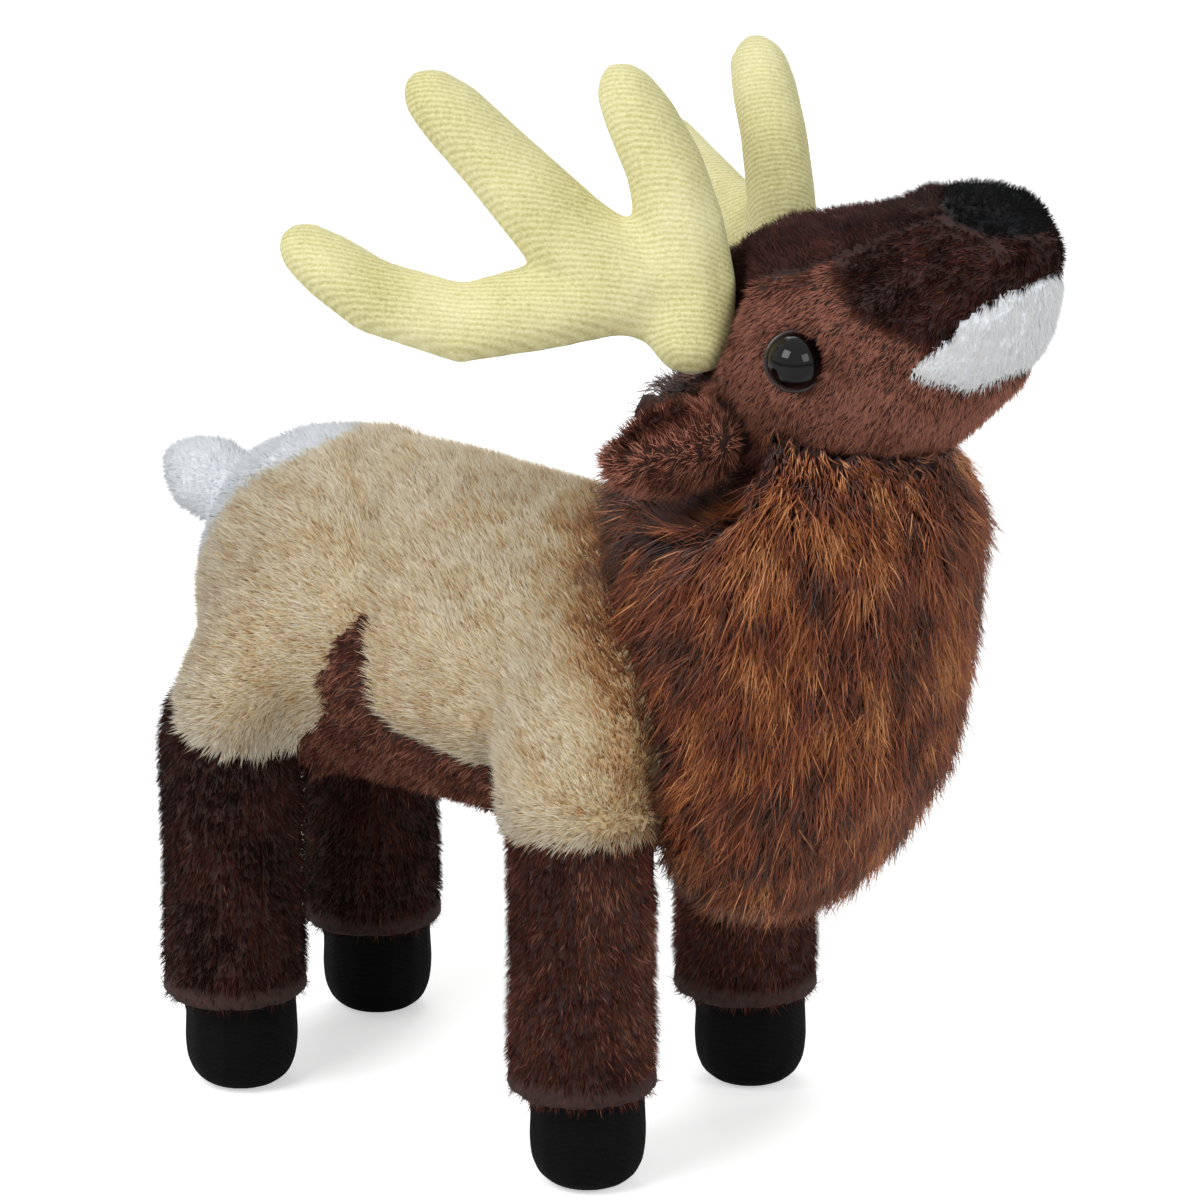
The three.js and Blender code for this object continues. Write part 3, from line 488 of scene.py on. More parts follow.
def pile(name, patch, covered, length, comb, tone, width, density, lift=(48, 22), bent=False,
         clump=(1.5, 0.3), ruffle=0.25, swirl=0.0, seed=1, soft=0.6, vary=0.12, reach=2.0 * MM, trim=None):
    """Tufts all over a patch, but not where another piece covers it."""
    co, tri, normal = used_only(*patch)
    if not len(tri):
        raise RuntimeError(f"{name}: the patch has no faces")
    rng = np.random.default_rng(seed)
    a, b, c = (co[tri[:, k]] for k in range(3))
    area = np.linalg.norm(np.cross(b - a, c - a), axis=1) / 2
    count = int(area.sum() * MM2_PER_M2 * density * bpy.context.scene.stag_pile.density)
    pick = rng.choice(len(tri), count, p=area / area.sum())
    w = rng.random((count, 2))
    w = np.where(w.sum(1, keepdims=True) > 1, 1 - w, w)
    p = a[pick] + w[:, :1] * (b - a)[pick] + w[:, 1:] * (c - a)[pick]
    na, nb, nc = (normal[tri[pick, k]] for k in range(3))
    n = unit(na + w[:, :1] * (nb - na) + w[:, 1:] * (nc - na))
    open_ = np.array([
        covered.ray_cast(q, d, reach)[0] is None
        for q, d in zip((p + n * 0.2 * MM).tolist(), n.tolist())
    ])
    p, n = p[open_], n[open_]
    size = length * (SHORTEST + LENGTH_SPREAD * rng.random(len(p)))[:, None]
    if trim:
        size *= trim(p, n)[:, None]
    way = unit(comb(p, n)) + ruffle * rng.normal(size=p.shape) + swirl * drift(p, 4 * MM, seed + 5)
    way += NAP_DRIFT * drift(p, 9 * MM, seed + 3)
    t = unit(way - n * (way * n).sum(1, keepdims=True))
    up = math.radians(lift[0]), math.radians(lift[1])
    bend = p + BEND_AT * size * (n * math.sin(up[0]) + t * math.cos(up[0]))
    tip = bend + BEYOND_BEND * size * (n * math.sin(up[1]) + t * math.cos(up[1]))
    cell = np.floor(p / (clump[0] * MM) + 1000)
    centre = (cell - 1000 + hashed(cell, seed + 1)) * clump[0] * MM
    pull = centre - p
    pull -= n * (pull * n).sum(1, keepdims=True)
    tip += pull * clump[1]
    bend += pull * clump[1] * 0.35
    tip += STRAY * size * rng.normal(size=p.shape)
    s = unit(np.cross(n, t))
    half = width * (THINNEST + WIDTH_SPREAD * rng.random(len(p)))[:, None] / 2
    rings = []
    for place, fat in [(p - n * ROOT_DEPTH, 0.9), *([(bend, 1.0)] if bent else [])]:
        for k in range(3):
            turn = math.radians(90 + 120 * k)
            flat_ring = s * math.cos(turn) + n * math.sin(turn) * 0.55 + t * 0.3 * (k == 0)
            rings.append(place + fat * half * flat_ring)
    corners = np.stack([*rings, tip], 1)
    per = corners.shape[1]
    faces = [(0, 1, 2)]
    for k in range(3):
        j = (k + 1) % 3
        if bent:
            faces += [(k, 3 + j, j), (k, 3 + k, 3 + j)]
        faces.append((per - 4 + k, per - 1, per - 4 + j))
    first = len(faces)
    faces = (np.array(faces)[None] + np.arange(len(p))[:, None, None] * per).reshape(-1, 3)
    flat = corners.reshape(-1, 3)
    if signed_volume(flat, faces[:first]) < 0:
        faces = faces[:, ::-1].copy()
    obj = new_object(name, flat, faces)
    mesh = obj.data
    mesh.shade_smooth()
    uneven = rng.normal(size=len(p)) + drift(p, 3 * MM, seed + 9)[:, 0]
    shade = np.clip(tone(p, n) + vary * uneven, 0.02, 0.98)
    across = [-0.006, 0, 0.006]
    u = shade[:, None] + np.array(across * (per // 3) + [0])[None]
    v = np.array([0.0, 0.05, 0.0] + ([0.45, 0.45, 0.45] if bent else []) + [1.0])
    uv = np.stack([u, np.broadcast_to(v, u.shape)], 2).reshape(-1, 2)
    layer = mesh.uv_layers.new(name=UV_NAME)
    layer.data.foreach_set("uv", uv[faces.ravel()].astype(np.float32).ravel())
    own = corner_normals(flat, faces)
    skin = np.repeat(unit(n + 0.35 * t), per, axis=0)
    mesh.normals_split_custom_set_from_vertices(unit(own * (1 - soft) + skin * soft).tolist())
    return obj


# Materials


def add(tree, kind, settings=None, links=None):
    """A node with these settings; a link's value is a number, a colour or another node's output."""
    made = tree.nodes.new(kind)
    for key, value in (settings or {}).items():
        setattr(made, key, value)
    for key, value in (links or {}).items():
        if isinstance(value, bpy.types.NodeSocket):
            tree.links.new(value, made.inputs[key])
        else:
            made.inputs[key].default_value = value
    return made


def start_material(name):
    material = bpy.data.materials.new(name)
    material.use_nodes = True
    material.node_tree.nodes.clear()
    return material, material.node_tree


def close_material(tree, shader):
    add(tree, "ShaderNodeOutputMaterial", links={"Surface": shader.outputs[0]})


def ramp_of(tree, value, stops):
    """A colour ramp; a stop's colour is a hex code or one of the user's colours."""
    made = add(tree, "ShaderNodeValToRGB", links={"Fac": value})
    elements = made.color_ramp.elements
    while len(elements) < len(stops):
        elements.new(0.5)
    for element, (place, colour) in zip(elements, stops):
        element.position = place
        element.color = linear(colour) if isinstance(colour, str) else colour
    return made.outputs["Color"]


def pile_material(name, roots, tips, roughness, sheen, specular=0.25):
    """Plush pile: roots darker in tone and with painted shade between the tufts, light at their tips, each
    tuft with a tone of its own.
    """
    material, tree = start_material(name)
    where = add(tree, "ShaderNodeUVMap", {"uv_map": UV_NAME})
    parts = add(tree, "ShaderNodeSeparateXYZ", links={"Vector": where.outputs["UV"]})
    root = ramp_of(tree, parts.outputs["X"], roots)
    tip = ramp_of(tree, parts.outputs["X"], tips)
    # The root colours are partly the fibre's own darker tone and partly painted shade between the tufts
    rise = add(tree, "ShaderNodeMapRange", {"interpolation_type": "SMOOTHSTEP"},
               {"Value": parts.outputs["Y"], "From Min": 0.05, "From Max": 0.75})
    mix = add(tree, "ShaderNodeMix", {"data_type": "RGBA"}, {0: rise.outputs[0], 6: root, 7: tip})
    shader = add(tree, "ShaderNodeBsdfPrincipled", links={
        "Base Color": mix.outputs[2], "Roughness": roughness, "Specular IOR Level": specular,
        "Sheen Weight": sheen, "Sheen Roughness": 0.4,
    })
    close_material(tree, shader)
    return material


def backing_material(name, dark, light):
    """Knitted backing that shows between the tufts, with loops of about 1.1 mm."""
    material, tree = start_material(name)
    where = add(tree, "ShaderNodeTexCoord")
    blot = add(tree, "ShaderNodeTexNoise", {"noise_dimensions": "3D"},
               {"Vector": where.outputs["Object"], "Scale": 0.9 / MM, "Detail": 3.0})
    colour = ramp_of(tree, blot.outputs["Fac"], [(0.3, dark), (0.7, light)])
    bump = add(tree, "ShaderNodeBump", links={
        "Height": blot.outputs["Fac"], "Strength": 0.6, "Distance": 0.4 * MM})
    shader = add(tree, "ShaderNodeBsdfPrincipled", links={
        "Base Color": colour, "Roughness": 0.9, "Normal": bump.outputs["Normal"],
    })
    close_material(tree, shader)
    return material


def velboa_material(name, dark, middle, light, glint, pitch, sheen):
    """Knitted velboa: a very short pile over ribs this far apart, painted shade in their valleys and fine
    painted glints. A wave texture has 20 / (2 pi) ribs to a unit; the nap is drawn 0.7 mm coarse so that it
    shows, the clouds 17 mm."""
    material, tree = start_material(name)
    where = add(tree, "ShaderNodeTexCoord")
    turned = add(tree, "ShaderNodeMapping", links={
        "Vector": where.outputs["Object"],
        "Rotation": (math.radians(20), math.radians(-35), math.radians(30)),
    })
    ribs = add(tree, "ShaderNodeTexWave", {
        "wave_type": "BANDS", "bands_direction": "Z", "wave_profile": "SIN",
    }, {
        "Vector": turned.outputs[0], "Scale": 2 * math.pi / (20 * pitch), "Distortion": 1.6,
        "Detail": 2.0, "Detail Scale": 2.5,
    })
    nap = add(tree, "ShaderNodeTexNoise", links={
        "Vector": where.outputs["Object"], "Scale": 1.5 / MM, "Detail": 3.0, "Roughness": 0.7})
    cloud = add(tree, "ShaderNodeTexNoise", links={
        "Vector": where.outputs["Object"], "Scale": 0.06 / MM, "Detail": 2.0})
    height = add(tree, "ShaderNodeMix", {"data_type": "FLOAT"}, {
        0: 0.78, 2: ribs.outputs["Fac"], 3: nap.outputs["Fac"]})
    # The colour follows the rib height: painted shade in the rib valleys, lighter on the ridges; the nap and
    # the clouds vary it at random
    tone = add(tree, "ShaderNodeMix", {"data_type": "FLOAT"}, {
        0: 0.4, 2: height.outputs[0], 3: cloud.outputs["Fac"]})
    base = ramp_of(tree, tone.outputs[0], [(0.25, dark), (0.5, middle), (0.72, light)])
    # Specks of the glint colour mixed into the base colour are painted glints
    specks = add(tree, "ShaderNodeTexVoronoi", links={"Vector": where.outputs["Object"], "Scale": 1.3 / MM})
    painted_glint_mask = add(tree, "ShaderNodeMapRange", links={
        "Value": specks.outputs["Distance"], "From Min": 0.16, "From Max": 0.05})
    colour = add(tree, "ShaderNodeMix", {"data_type": "RGBA"}, {
        0: painted_glint_mask.outputs[0], 6: base, 7: linear(glint)})
    bump = add(tree, "ShaderNodeBump", links={
        "Height": height.outputs[0], "Strength": 0.7, "Distance": 0.3 * MM})
    shader = add(tree, "ShaderNodeBsdfPrincipled", links={
        "Base Color": colour.outputs[2], "Roughness": 0.8, "Normal": bump.outputs["Normal"],
        "Sheen Weight": sheen, "Sheen Roughness": 0.35, "Specular IOR Level": 0.1,
    })
    close_material(tree, shader)
    return material


def plastic_material(name, dark, light, roughness, coat):
    """Moulded plastic with faint flow marks about 6 mm long."""
    material, tree = start_material(name)
    where = add(tree, "ShaderNodeTexCoord")
    flow = add(tree, "ShaderNodeTexNoise", links={
        "Vector": where.outputs["Object"], "Scale": 0.18 / MM, "Detail": 2.0})
    colour = ramp_of(tree, flow.outputs["Fac"], [(0.3, dark), (0.7, light)])
    shader = add(tree, "ShaderNodeBsdfPrincipled", links={
        "Base Color": colour, "Roughness": roughness, "Coat Weight": coat, "Coat Roughness": 0.03,
        "IOR": 1.5, "Specular IOR Level": 0.25,
    })
    close_material(tree, shader)
    return material


def make_materials():
    """All finishes. A ramp's places run from a tuft's lightest tone, 0, to its darkest, 1."""
    made = {}
    user = bpy.context.scene.stag_colours
    # Each plush's root ramp holds painted shade between the tufts as well as the fibre's own root tone
    # Polyester plush, cut pile: cream tips over tan roots, rust and brown where the ruff has rubbed it
    made["tan"] = pile_material(
        "tan_plush",
        [(0.0, "#A88F66"), (0.5, "#8A6E48"), (0.8, "#84502A"), (1.0, "#3A1A0E")],
        [(0.0, "#F8EFDC"), (0.35, user.tan), (0.55, "#D2BE98"), (0.75, "#BC8850"), (1.0, "#5E2E18")],
        roughness=0.75, sheen=0.1)
    # Polyester plush, short pile: dark root colours that also hold painted shade between the tufts, dusty
    # red-brown tips
    made["brown"] = pile_material(
        "brown_plush",
        [(0.0, "#3C1E19"), (1.0, "#120706")],
        [(0.0, "#C4856F"), (0.3, user.brown), (0.6, "#502A21"), (1.0, "#120705")],
        roughness=0.85, sheen=0.0, specular=0.08)
    # Curled plush of the forehead: darker, with no light tips
    made["curly"] = pile_material(
        "curly_plush",
        [(0.0, "#1A0C0A"), (1.0, "#070303")],
        [(0.0, "#5A342C"), (0.4, "#301814"), (1.0, "#100605")],
        roughness=0.8, sheen=0.0, specular=0.15)
    # Acrylic long pile of the ruff: glossy russet fibre; its near-black root colours also hold painted shade
    # between the tufts
    made["ruff"] = pile_material(
        "ruff_plush",
        [(0.0, "#7A3817"), (0.5, "#42190A"), (1.0, "#120503")],
        [(0.0, "#E6A268"), (0.25, "#C07238"), (0.5, user.ruff), (0.75, "#5E2810"), (1.0, "#260D05")],
        roughness=0.36, sheen=0.0, specular=0.6)
    # White plush: matt, and a little blue where it is in shade
    made["white"] = pile_material(
        "white_plush",
        [(0.0, "#FAFBFD"), (0.2, "#EEF2F6"), (0.5, "#DDE4EB"), (1.0, "#CBD4DD")],
        [(0.0, "#FFFFFF"), (0.2, "#F8FAFC"), (0.5, user.white), (1.0, "#D2DAE2")],
        roughness=0.9, sheen=0.0, specular=0.1)
    # Black plush of the nose
    made["black"] = pile_material(
        "black_plush",
        [(0.0, "#0B0B0D"), (1.0, "#050506")],
        [(0.0, "#1E2023"), (0.5, user.nose), (1.0, "#050506")],
        roughness=0.7, sheen=0.0, specular=0.12)
    # Knitted backings of the plush, and white polyester stuffing
    for name, dark, light in (
        ("tan_backing", "#B79C70", "#D3BF97"),
        ("brown_backing", "#23120E", "#3B211A"),
        ("ruff_backing", "#1A0905", "#3A180B"),
        ("white_backing", "#DDE3EA", "#F2F5F8"),
        ("black_backing", "#08080A", "#121317"),
        ("polyester_stuffing", "#E6E6E2", "#F6F6F3"),
    ):
        made[name] = backing_material(name, dark, light)
    # Knitted velboa: pale cream antlers with ribs that show, black hooves with hardly any
    made["antler"] = velboa_material(
        "antler_velboa", "#A39A62", user.antler, "#E9E4B8", "#FFF0A8", pitch=0.8 * MM, sheen=0.15)
    made["hoof"] = velboa_material(
        "hoof_velboa", "#020203", user.hoof, "#0B0C0E", "#17191C", pitch=0.8 * MM, sheen=0.0)
    # Moulded acrylic eyes, their darker rims, and polypropylene washers
    made["eye"] = plastic_material("eye_acrylic", "#020203", "#060607", roughness=0.05, coat=0.0)
    made["rim"] = plastic_material("eye_rim", "#1A1210", "#2C1E1A", roughness=0.25, coat=0.5)
    made["washer"] = plastic_material("washer_plastic", "#D8D8D4", "#EDEDEA", roughness=0.45, coat=0.0)
    return made


made_materials = {}


def material_of(name):
    if not made_materials:
        made_materials.update(make_materials())
    return made_materials[name]


def finish_piece(obj, body, material, nodes=()):
    obj.data.materials.clear()
    obj.data.materials.append(material_of(material))
    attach(obj, body)
    if nodes:
        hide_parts(*nodes)
    return obj


def cloth(name, patch, body, material, nodes, thick=0.7 * MM):
    """The backing of a patch, with the thickness of real cloth."""
    co, tri, _ = used_only(*patch)
    obj = new_object(name, co, tri)
    modify(obj, "SOLIDIFY", thickness=thick, offset=-1)
    obj.data.shade_smooth()
    return finish_piece(obj, body, material, nodes)


def core(name, node, body, under=0.9 * MM):
    """Stuffing: the same form, drawn in this far under its cover."""
    obj = stuffed(name, [node], STUFFING_VOXEL, STUFFING_RELAX, under, blown=False)
    obj.data.shade_smooth()
    return finish_piece(obj, body, "polyester_stuffing", [node])


def all_but(*nodes):
    return tree_of([n for n in frame["nodes"] if n not in nodes])[0]


def steady(*way):
    return lambda p, n: np.broadcast_to(np.array(way, float), p.shape)


def even(value):
    return lambda p, n: np.full(len(p), value)


class STAG_OT_trunk(bpy.types.Operator):
    """Makes the tan body, the brown belly and the white rump, with their pile"""

    bl_idname = "stag.trunk"
    bl_label = "Trunk"

    def execute(self, context):
        length = context.scene.stag_pile
        legs = [f"leg_{part}_{leg}" for leg in LEGS for part in ("cover", "filling")]
        form = stuffed("trunk_form", TRUNK + legs, **FORMS["trunk"])
        covers = [n for n in TRUNK + legs if "filling" not in n]
        share = patches(form, covers, FORMS["trunk"]["under"], dents=[
            ([HAUNCH_CREASE], 2.0 * MM, 3.2 * MM),
            ([SHOULDER_DART], 2.0 * MM, 1.8 * MM),
            ([[q] for q in PUCKERS], 0.6 * MM, 1.6 * MM),
        ])
        covered = all_but(*TRUNK, *legs)
        ruff = tree_of(["neck_ruff"])[0]

        def tan_tone(p, n):
            """Browner where the ruff's hair has rubbed off, rusty in a few tufts and lighter at the hems;
            painted shade darkens the creases, the shoulder's sewn fold and the puckers."""
            rubbed = near(ruff, p, 14 * MM)
            blot = drift(p, 14 * MM, 41)[:, 0]
            rusty = hashed(np.floor(p / (1.3 * MM)), 43)[:, 0] > 0.985
            # Painted shade: darker at SHOULDER_DART, along HAUNCH_CREASE and at PUCKERS
            dart_shade = spots(p, SHOULDER_DART, 1.2 * MM)
            crease_shade = spots(p, HAUNCH_CREASE, 3.0 * MM)
            hem = np.clip((82 * MM - p[:, 2]) / (16 * MM), 0, 1)
            return (0.41 + 0.64 * rubbed**0.95 + 0.08 * blot + 0.2 * rusty + 0.12 * crease_shade - 0.14 * hem
                    + 0.3 * spots(p, PUCKERS, 1.1 * MM) + 0.4 * dart_shade)

        def tan_comb(p, n):
            """The nap lies back and up on the flank, straight back on the haunch and down at the hems."""
            haunch = np.clip((p[:, 1] - 28 * MM) / (22 * MM), 0, 1)[:, None]
            drop = np.clip((108 * MM - p[:, 2]) / (30 * MM), 0, 1)[:, None]
            hem = np.clip((80 * MM - p[:, 2]) / (14 * MM), 0, 1)[:, None] * (haunch > 0.2)
            front_hem = np.clip((76 * MM - p[:, 2]) / (10 * MM), 0, 1)[:, None] * (haunch <= 0.2)
            flank = np.array([0.0, 0.6, 0.8])
            rear = np.array([0.0, 0.85, 0.5]) * (1 - drop) + np.array([0.0, 1.0, 0.0]) * drop
            lie = flank * (1 - haunch) + rear * haunch
            hems = np.clip(hem + front_hem, 0, 1)
            return lie * (1 - hems) + np.array([0.0, 0.6, -0.8]) * hems

        for i, side in enumerate(SIDES):
            node = f"body_cover_{side}"
            cloth(f"body_cloth_{side}", share[node], "trunk", "tan_backing", [node])
            for end, first_seed, keep in (
                ("front", 11, lambda m: m[:, 1] < TAN_CUT),
                ("rear", 15, lambda m: m[:, 1] >= TAN_CUT),
            ):
                hair = pile(f"body_pile_{side}_{end}", part_of(share[node], keep), covered, length.tan_length,
                            tan_comb, tan_tone, seed=first_seed + i, **PILES["tan"])
                finish_piece(hair, "trunk", "tan")
        cloth("belly_cloth", share["belly_panel"], "trunk", "brown_backing", ["belly_panel"])
        hair = pile("belly_pile", share["belly_panel"], covered, length.brown_length, steady(0, 0.8, -0.6),
                    even(0.38), seed=13, **PILES["belly"])
        finish_piece(hair, "trunk", "brown")
        cloth("rump_cloth", share["rump_patch"], "trunk", "white_backing", ["rump_patch"])
        hair = pile("rump_pile", share["rump_patch"], covered, length.brown_length * 0.7,
                    steady(0, 0.6, -0.8), even(WHITE_TONE), lift=(62, 40), seed=14, **PILES["white"])
        finish_piece(hair, "trunk", "white")
        core("body_stuffing", "body_filling", "trunk", 3.4 * MM)
        remove(form)
        return {"FINISHED"}


class STAG_OT_tail(bpy.types.Operator):
    """Makes the white tail"""

    bl_idname = "stag.tail"
    bl_label = "Tail"

    def execute(self, context):
        form = stuffed("tail_form", ["tail"], **FORMS["tail"])
        share = patches(form, ["tail"], FORMS["tail"]["under"])
        cloth("tail_cloth", share["tail"], "tail", "white_backing", ["tail"])
        length = context.scene.stag_pile.brown_length * 0.65
        hair = pile("tail_pile", share["tail"], all_but("tail"), length, steady(0, 1, 0.1),
                    even(WHITE_TONE), lift=(50, 30), seed=21, **PILES["white"])
        finish_piece(hair, "tail", "white")
        remove(form)
        return {"FINISHED"}


def draw_nape_in(form):
    """Draws the ruff's skin in at the nape, where the hair lies flatter."""
    co, tri = arrays(form)
    high = np.clip((co[:, 2] - NAPE_HEIGHT) / (8 * MM), 0, 1)
    behind = np.clip((co[:, 1] - NAPE_FRONT) / (8 * MM), 0, 1)
    nape = high * behind
    set_corners(form, co - corner_normals(co, tri) * (2.6 * MM * nape)[:, None])


class STAG_OT_ruff(bpy.types.Operator):
    """Makes the long-haired ruff round the neck"""

    bl_idname = "stag.ruff"
    bl_label = "Ruff"

    def execute(self, context):
        nodes = ["neck_ruff", "neck_filling"]
        form = stuffed("ruff_form", nodes + HEAD, **FORMS["ruff"])
        draw_nape_in(form)
        share = patches(form, nodes + HEAD, FORMS["ruff"]["under"], seam=0)
        low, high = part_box("neck_ruff")
        middle = (low + high) / 2
        head = tree_of(HEAD_COVERS)[0]
        ears = tree_of([f"ear_{side}" for side in SIDES])[0]

        def comb(p, n):
            """Back and down on the flanks, straight down at the chest, and outwards at the rim."""
            back = np.clip((p[:, 1] - low.y) / (high.y - low.y), 0, 1)[:, None]
            lie = np.array([0.0, 0.05, -1.0]) * (1 - back) + np.array([0.0, 0.75, -0.75]) * back
            rim = near(head, p, 5 * MM)[:, None]
            out = unit((p - [0, middle.y, 0]) * [1, 1, 0])
            return lie * (1 - rim) + (out * 0.9 - [0, 0, 0.25]) * rim

        def trim(p, n):
            """Shorter beside the jaw and at the nape."""
            nape = np.clip((p[:, 2] - NAPE_HEIGHT) / (8 * MM), 0, 1) * (p[:, 1] > NAPE_FRONT)
            return 1 - 0.55 * near(head, p, 6 * MM) - 0.3 * nape

        def tone(p, n):
            """Locks: painted highlights where they rise and painted shade in the partings between them, over
            tone that differs at random; painted shade under the ears; darker towards the back, most at the
            upper back.
            """
            lock_highlights_and_shade = drift(p * np.array([1, 1, 0.35]), 2.2 * MM, 71)[:, 0] + 0.3 * drift(p, 9 * MM, 72)[:, 0]
            back = np.clip((p[:, 1] - middle.y) / (high.y - middle.y), 0, 1)
            upper = np.clip((p[:, 2] - 100 * MM) / (20 * MM), 0, 1)
            # The lock swathes are painted highlights and shade, and the term near the ears is painted shade
            # under them
            return 0.49 + 0.42 * lock_highlights_and_shade + 0.1 * back + 0.4 * back * upper + 0.4 * near(ears, p, 10 * MM)

        cloth("ruff_cloth", share["neck_ruff"], "trunk", "ruff_backing", ["neck_ruff"],
              thick=1.0 * MM)
        trunk = tree_of(TRUNK)[0]
        bare = part_of(share["neck_filling"], lambda m: near(trunk, m, 5 * MM) == 0)
        cloth("ruff_lining", bare, "trunk", "ruff_backing", [], thick=0.8 * MM)
        covered = all_but(*nodes, *TRUNK)
        for i, side in enumerate(SIDES):
            way = 1 if side == "left" else -1
            for j, end in enumerate(("upper", "lower")):
                def keep(m, way=way, upper=j == 0):
                    return (m[:, 0] * way > 0) & ((m[:, 2] > middle.z) == upper)
                hair = pile(f"ruff_pile_{side}_{end}", part_of(share["neck_ruff"], keep), covered,
                            context.scene.stag_pile.ruff_length, comb, tone, seed=31 + 2 * i + j, trim=trim,
                            **PILES["ruff"])
                finish_piece(hair, "trunk", "ruff")
        hair = pile("ruff_rim_pile", bare, covered, RIM_HAIR, comb, tone, seed=36, trim=trim, **PILES["rim"])
        finish_piece(hair, "trunk", "ruff")
        core("neck_stuffing", "neck_filling", "trunk", 4.3 * MM)
        remove(form)
        return {"FINISHED"}


def flatten(obj, height):
    """Sets what reaches below a height flat on it."""
    for vertex in obj.data.vertices:
        vertex.co.z = max(vertex.co.z, height)


class STAG_OT_legs(bpy.types.Operator):
    """Makes the brown legs and the black hooves"""

    bl_idname = "stag.legs"
    bl_label = "Legs and hooves"

    def execute(self, context):
        length = context.scene.stag_pile

        def leg_tone(p, n):
            """Darker on the hind legs as painted shade, with swathes where the pile has been brushed."""
            swathes = drift(p * np.array([1, 1, 0.6]), 7 * MM, 47)[:, 0]
            # The hind legs' extra darkness is painted shade
            return 0.53 + 0.33 * (p[:, 1] > 10 * MM) + 0.2 * swathes

        for i, leg in enumerate(LEGS):
            node = f"leg_cover_{leg}"
            form = stuffed("leg_form", [node, f"leg_filling_{leg}"], **FORMS["leg"])
            share = patches(form, [node], FORMS["leg"]["under"])
            cloth(f"leg_cloth_{leg}", share[node], f"leg_{leg}", "brown_backing", [node])
            hair = pile(f"leg_pile_{leg}", share[node], all_but(node, f"leg_filling_{leg}"),
                        length.brown_length, steady(0, 0.12, -1), leg_tone, seed=41 + i, **PILES["leg"])
            finish_piece(hair, f"leg_{leg}", "brown")
            core(f"leg_stuffing_{leg}", f"leg_filling_{leg}", f"leg_{leg}")
            remove(form)
            hoof = stuffed(f"hoof_shape_{leg}", [f"hoof_{leg}"], **FORMS["hoof"])
            flatten(hoof, 0)
            hoof.data.shade_smooth()
            finish_piece(hoof, f"leg_{leg}", "hoof", [f"hoof_{leg}"])
        return {"FINISHED"}


class STAG_OT_head(bpy.types.Operator):
    """Makes the head's cloth pieces: cheeks, forehead, chin, nose and mouth"""

    bl_idname = "stag.head"
    bl_label = "Head"

    def execute(self, context):
        length = context.scene.stag_pile.brown_length
        form = stuffed("head_form", HEAD, **FORMS["head"])
        share = patches(form, HEAD_COVERS, FORMS["head"]["under"], seam=0.5 * MM)
        eyes = tree_of([f"eye_{side}" for side in SIDES])[0]
        covered = all_but(*HEAD)

        def muzzle(p):
            """1 above the line from antler over eye to mouth, where the cloth is dark and curly."""
            line = np.interp(-p[:, 1] / MM, *np.array(MUZZLE_LINE, float).T) * MM
            return np.clip((p[:, 2] - line) / (3 * MM) + 0.3, 0, 1)

        def cheek_comb(p, n):
            """The nap runs back and down from the muzzle, and curls on the dark cloth."""
            lie = np.array([0.0, 0.38, -0.9]) + np.array([0.3, 0.0, 0.0]) * np.sign(p[:, :1])
            return lie + 1.4 * muzzle(p)[:, None] * drift(p, 4 * MM, 54)

        def cheek_tone(p, n):
            """Painted shade round the deep-set eye, dark on the muzzle's upper side, with swathes elsewhere.
            """
            front = np.clip((-p[:, 1] - 56 * MM) / (8 * MM), 0, 1)
            # The pile next to the eyes is darkened as painted shade of their deep setting
            return (0.02 + 0.8 * near(eyes, p, 1.6 * MM) + 0.14 * drift(p, 6 * MM, 52)[:, 0]
                    + muzzle(p) * (0.3 + 0.6 * front))

        def forehead_tone(p, n):
            """Browner towards the nape, darker towards the nose."""
            front = np.clip((-p[:, 1] - 56 * MM) / (16 * MM), 0, 1)
            return 0.22 + 0.4 * front + 0.2 * drift(p, 5 * MM, 55)[:, 0]

        for i, side in enumerate(SIDES):
            node = f"head_cover_{side}"
            cloth(f"cheek_cloth_{side}", share[node], "head", "brown_backing", [node])
            hair = pile(f"cheek_pile_{side}", share[node], covered, length * 0.85, cheek_comb, cheek_tone,
                        seed=51 + i, **PILES["cheek"])
            finish_piece(hair, "head", "brown")
            node = f"mouth_patch_{side}"
            cloth(f"mouth_cloth_{side}", share[node], "head", "white_backing", [node])
            hair = pile(f"mouth_pile_{side}", share[node], covered, length * 0.9, steady(0, 0.45, -0.9),
                        even(0.04), seed=53 + i, **PILES["mouth"])
            finish_piece(hair, "head", "white")
        cloth("forehead_cloth", share["forehead_gusset"], "head", "brown_backing",
              ["forehead_gusset"])
        hair = pile("forehead_pile", share["forehead_gusset"], covered, length * 0.95, steady(0, 0.7, 0.3),
                    forehead_tone, seed=56, **PILES["forehead"])
        finish_piece(hair, "head", "curly")
        cloth("chin_cloth", share["chin_panel"], "head", "brown_backing", ["chin_panel"])
        hair = pile("chin_pile", share["chin_panel"], covered, length * 0.85, steady(0, 0.8, -0.6),
                    cheek_tone, seed=57, **PILES["chin"])
        finish_piece(hair, "head", "brown")
        cloth("nose_cloth", share["nose_patch"], "head", "black_backing", ["nose_patch"])
        hair = pile("nose_pile", share["nose_patch"], covered, length * 0.85, steady(0, -0.6, 0.2), even(0.5),
                    seed=58, **PILES["nose"])
        finish_piece(hair, "head", "black")
        core("head_stuffing", "head_filling", "head", 2.4 * MM)
        remove(form)
        return {"FINISHED"}


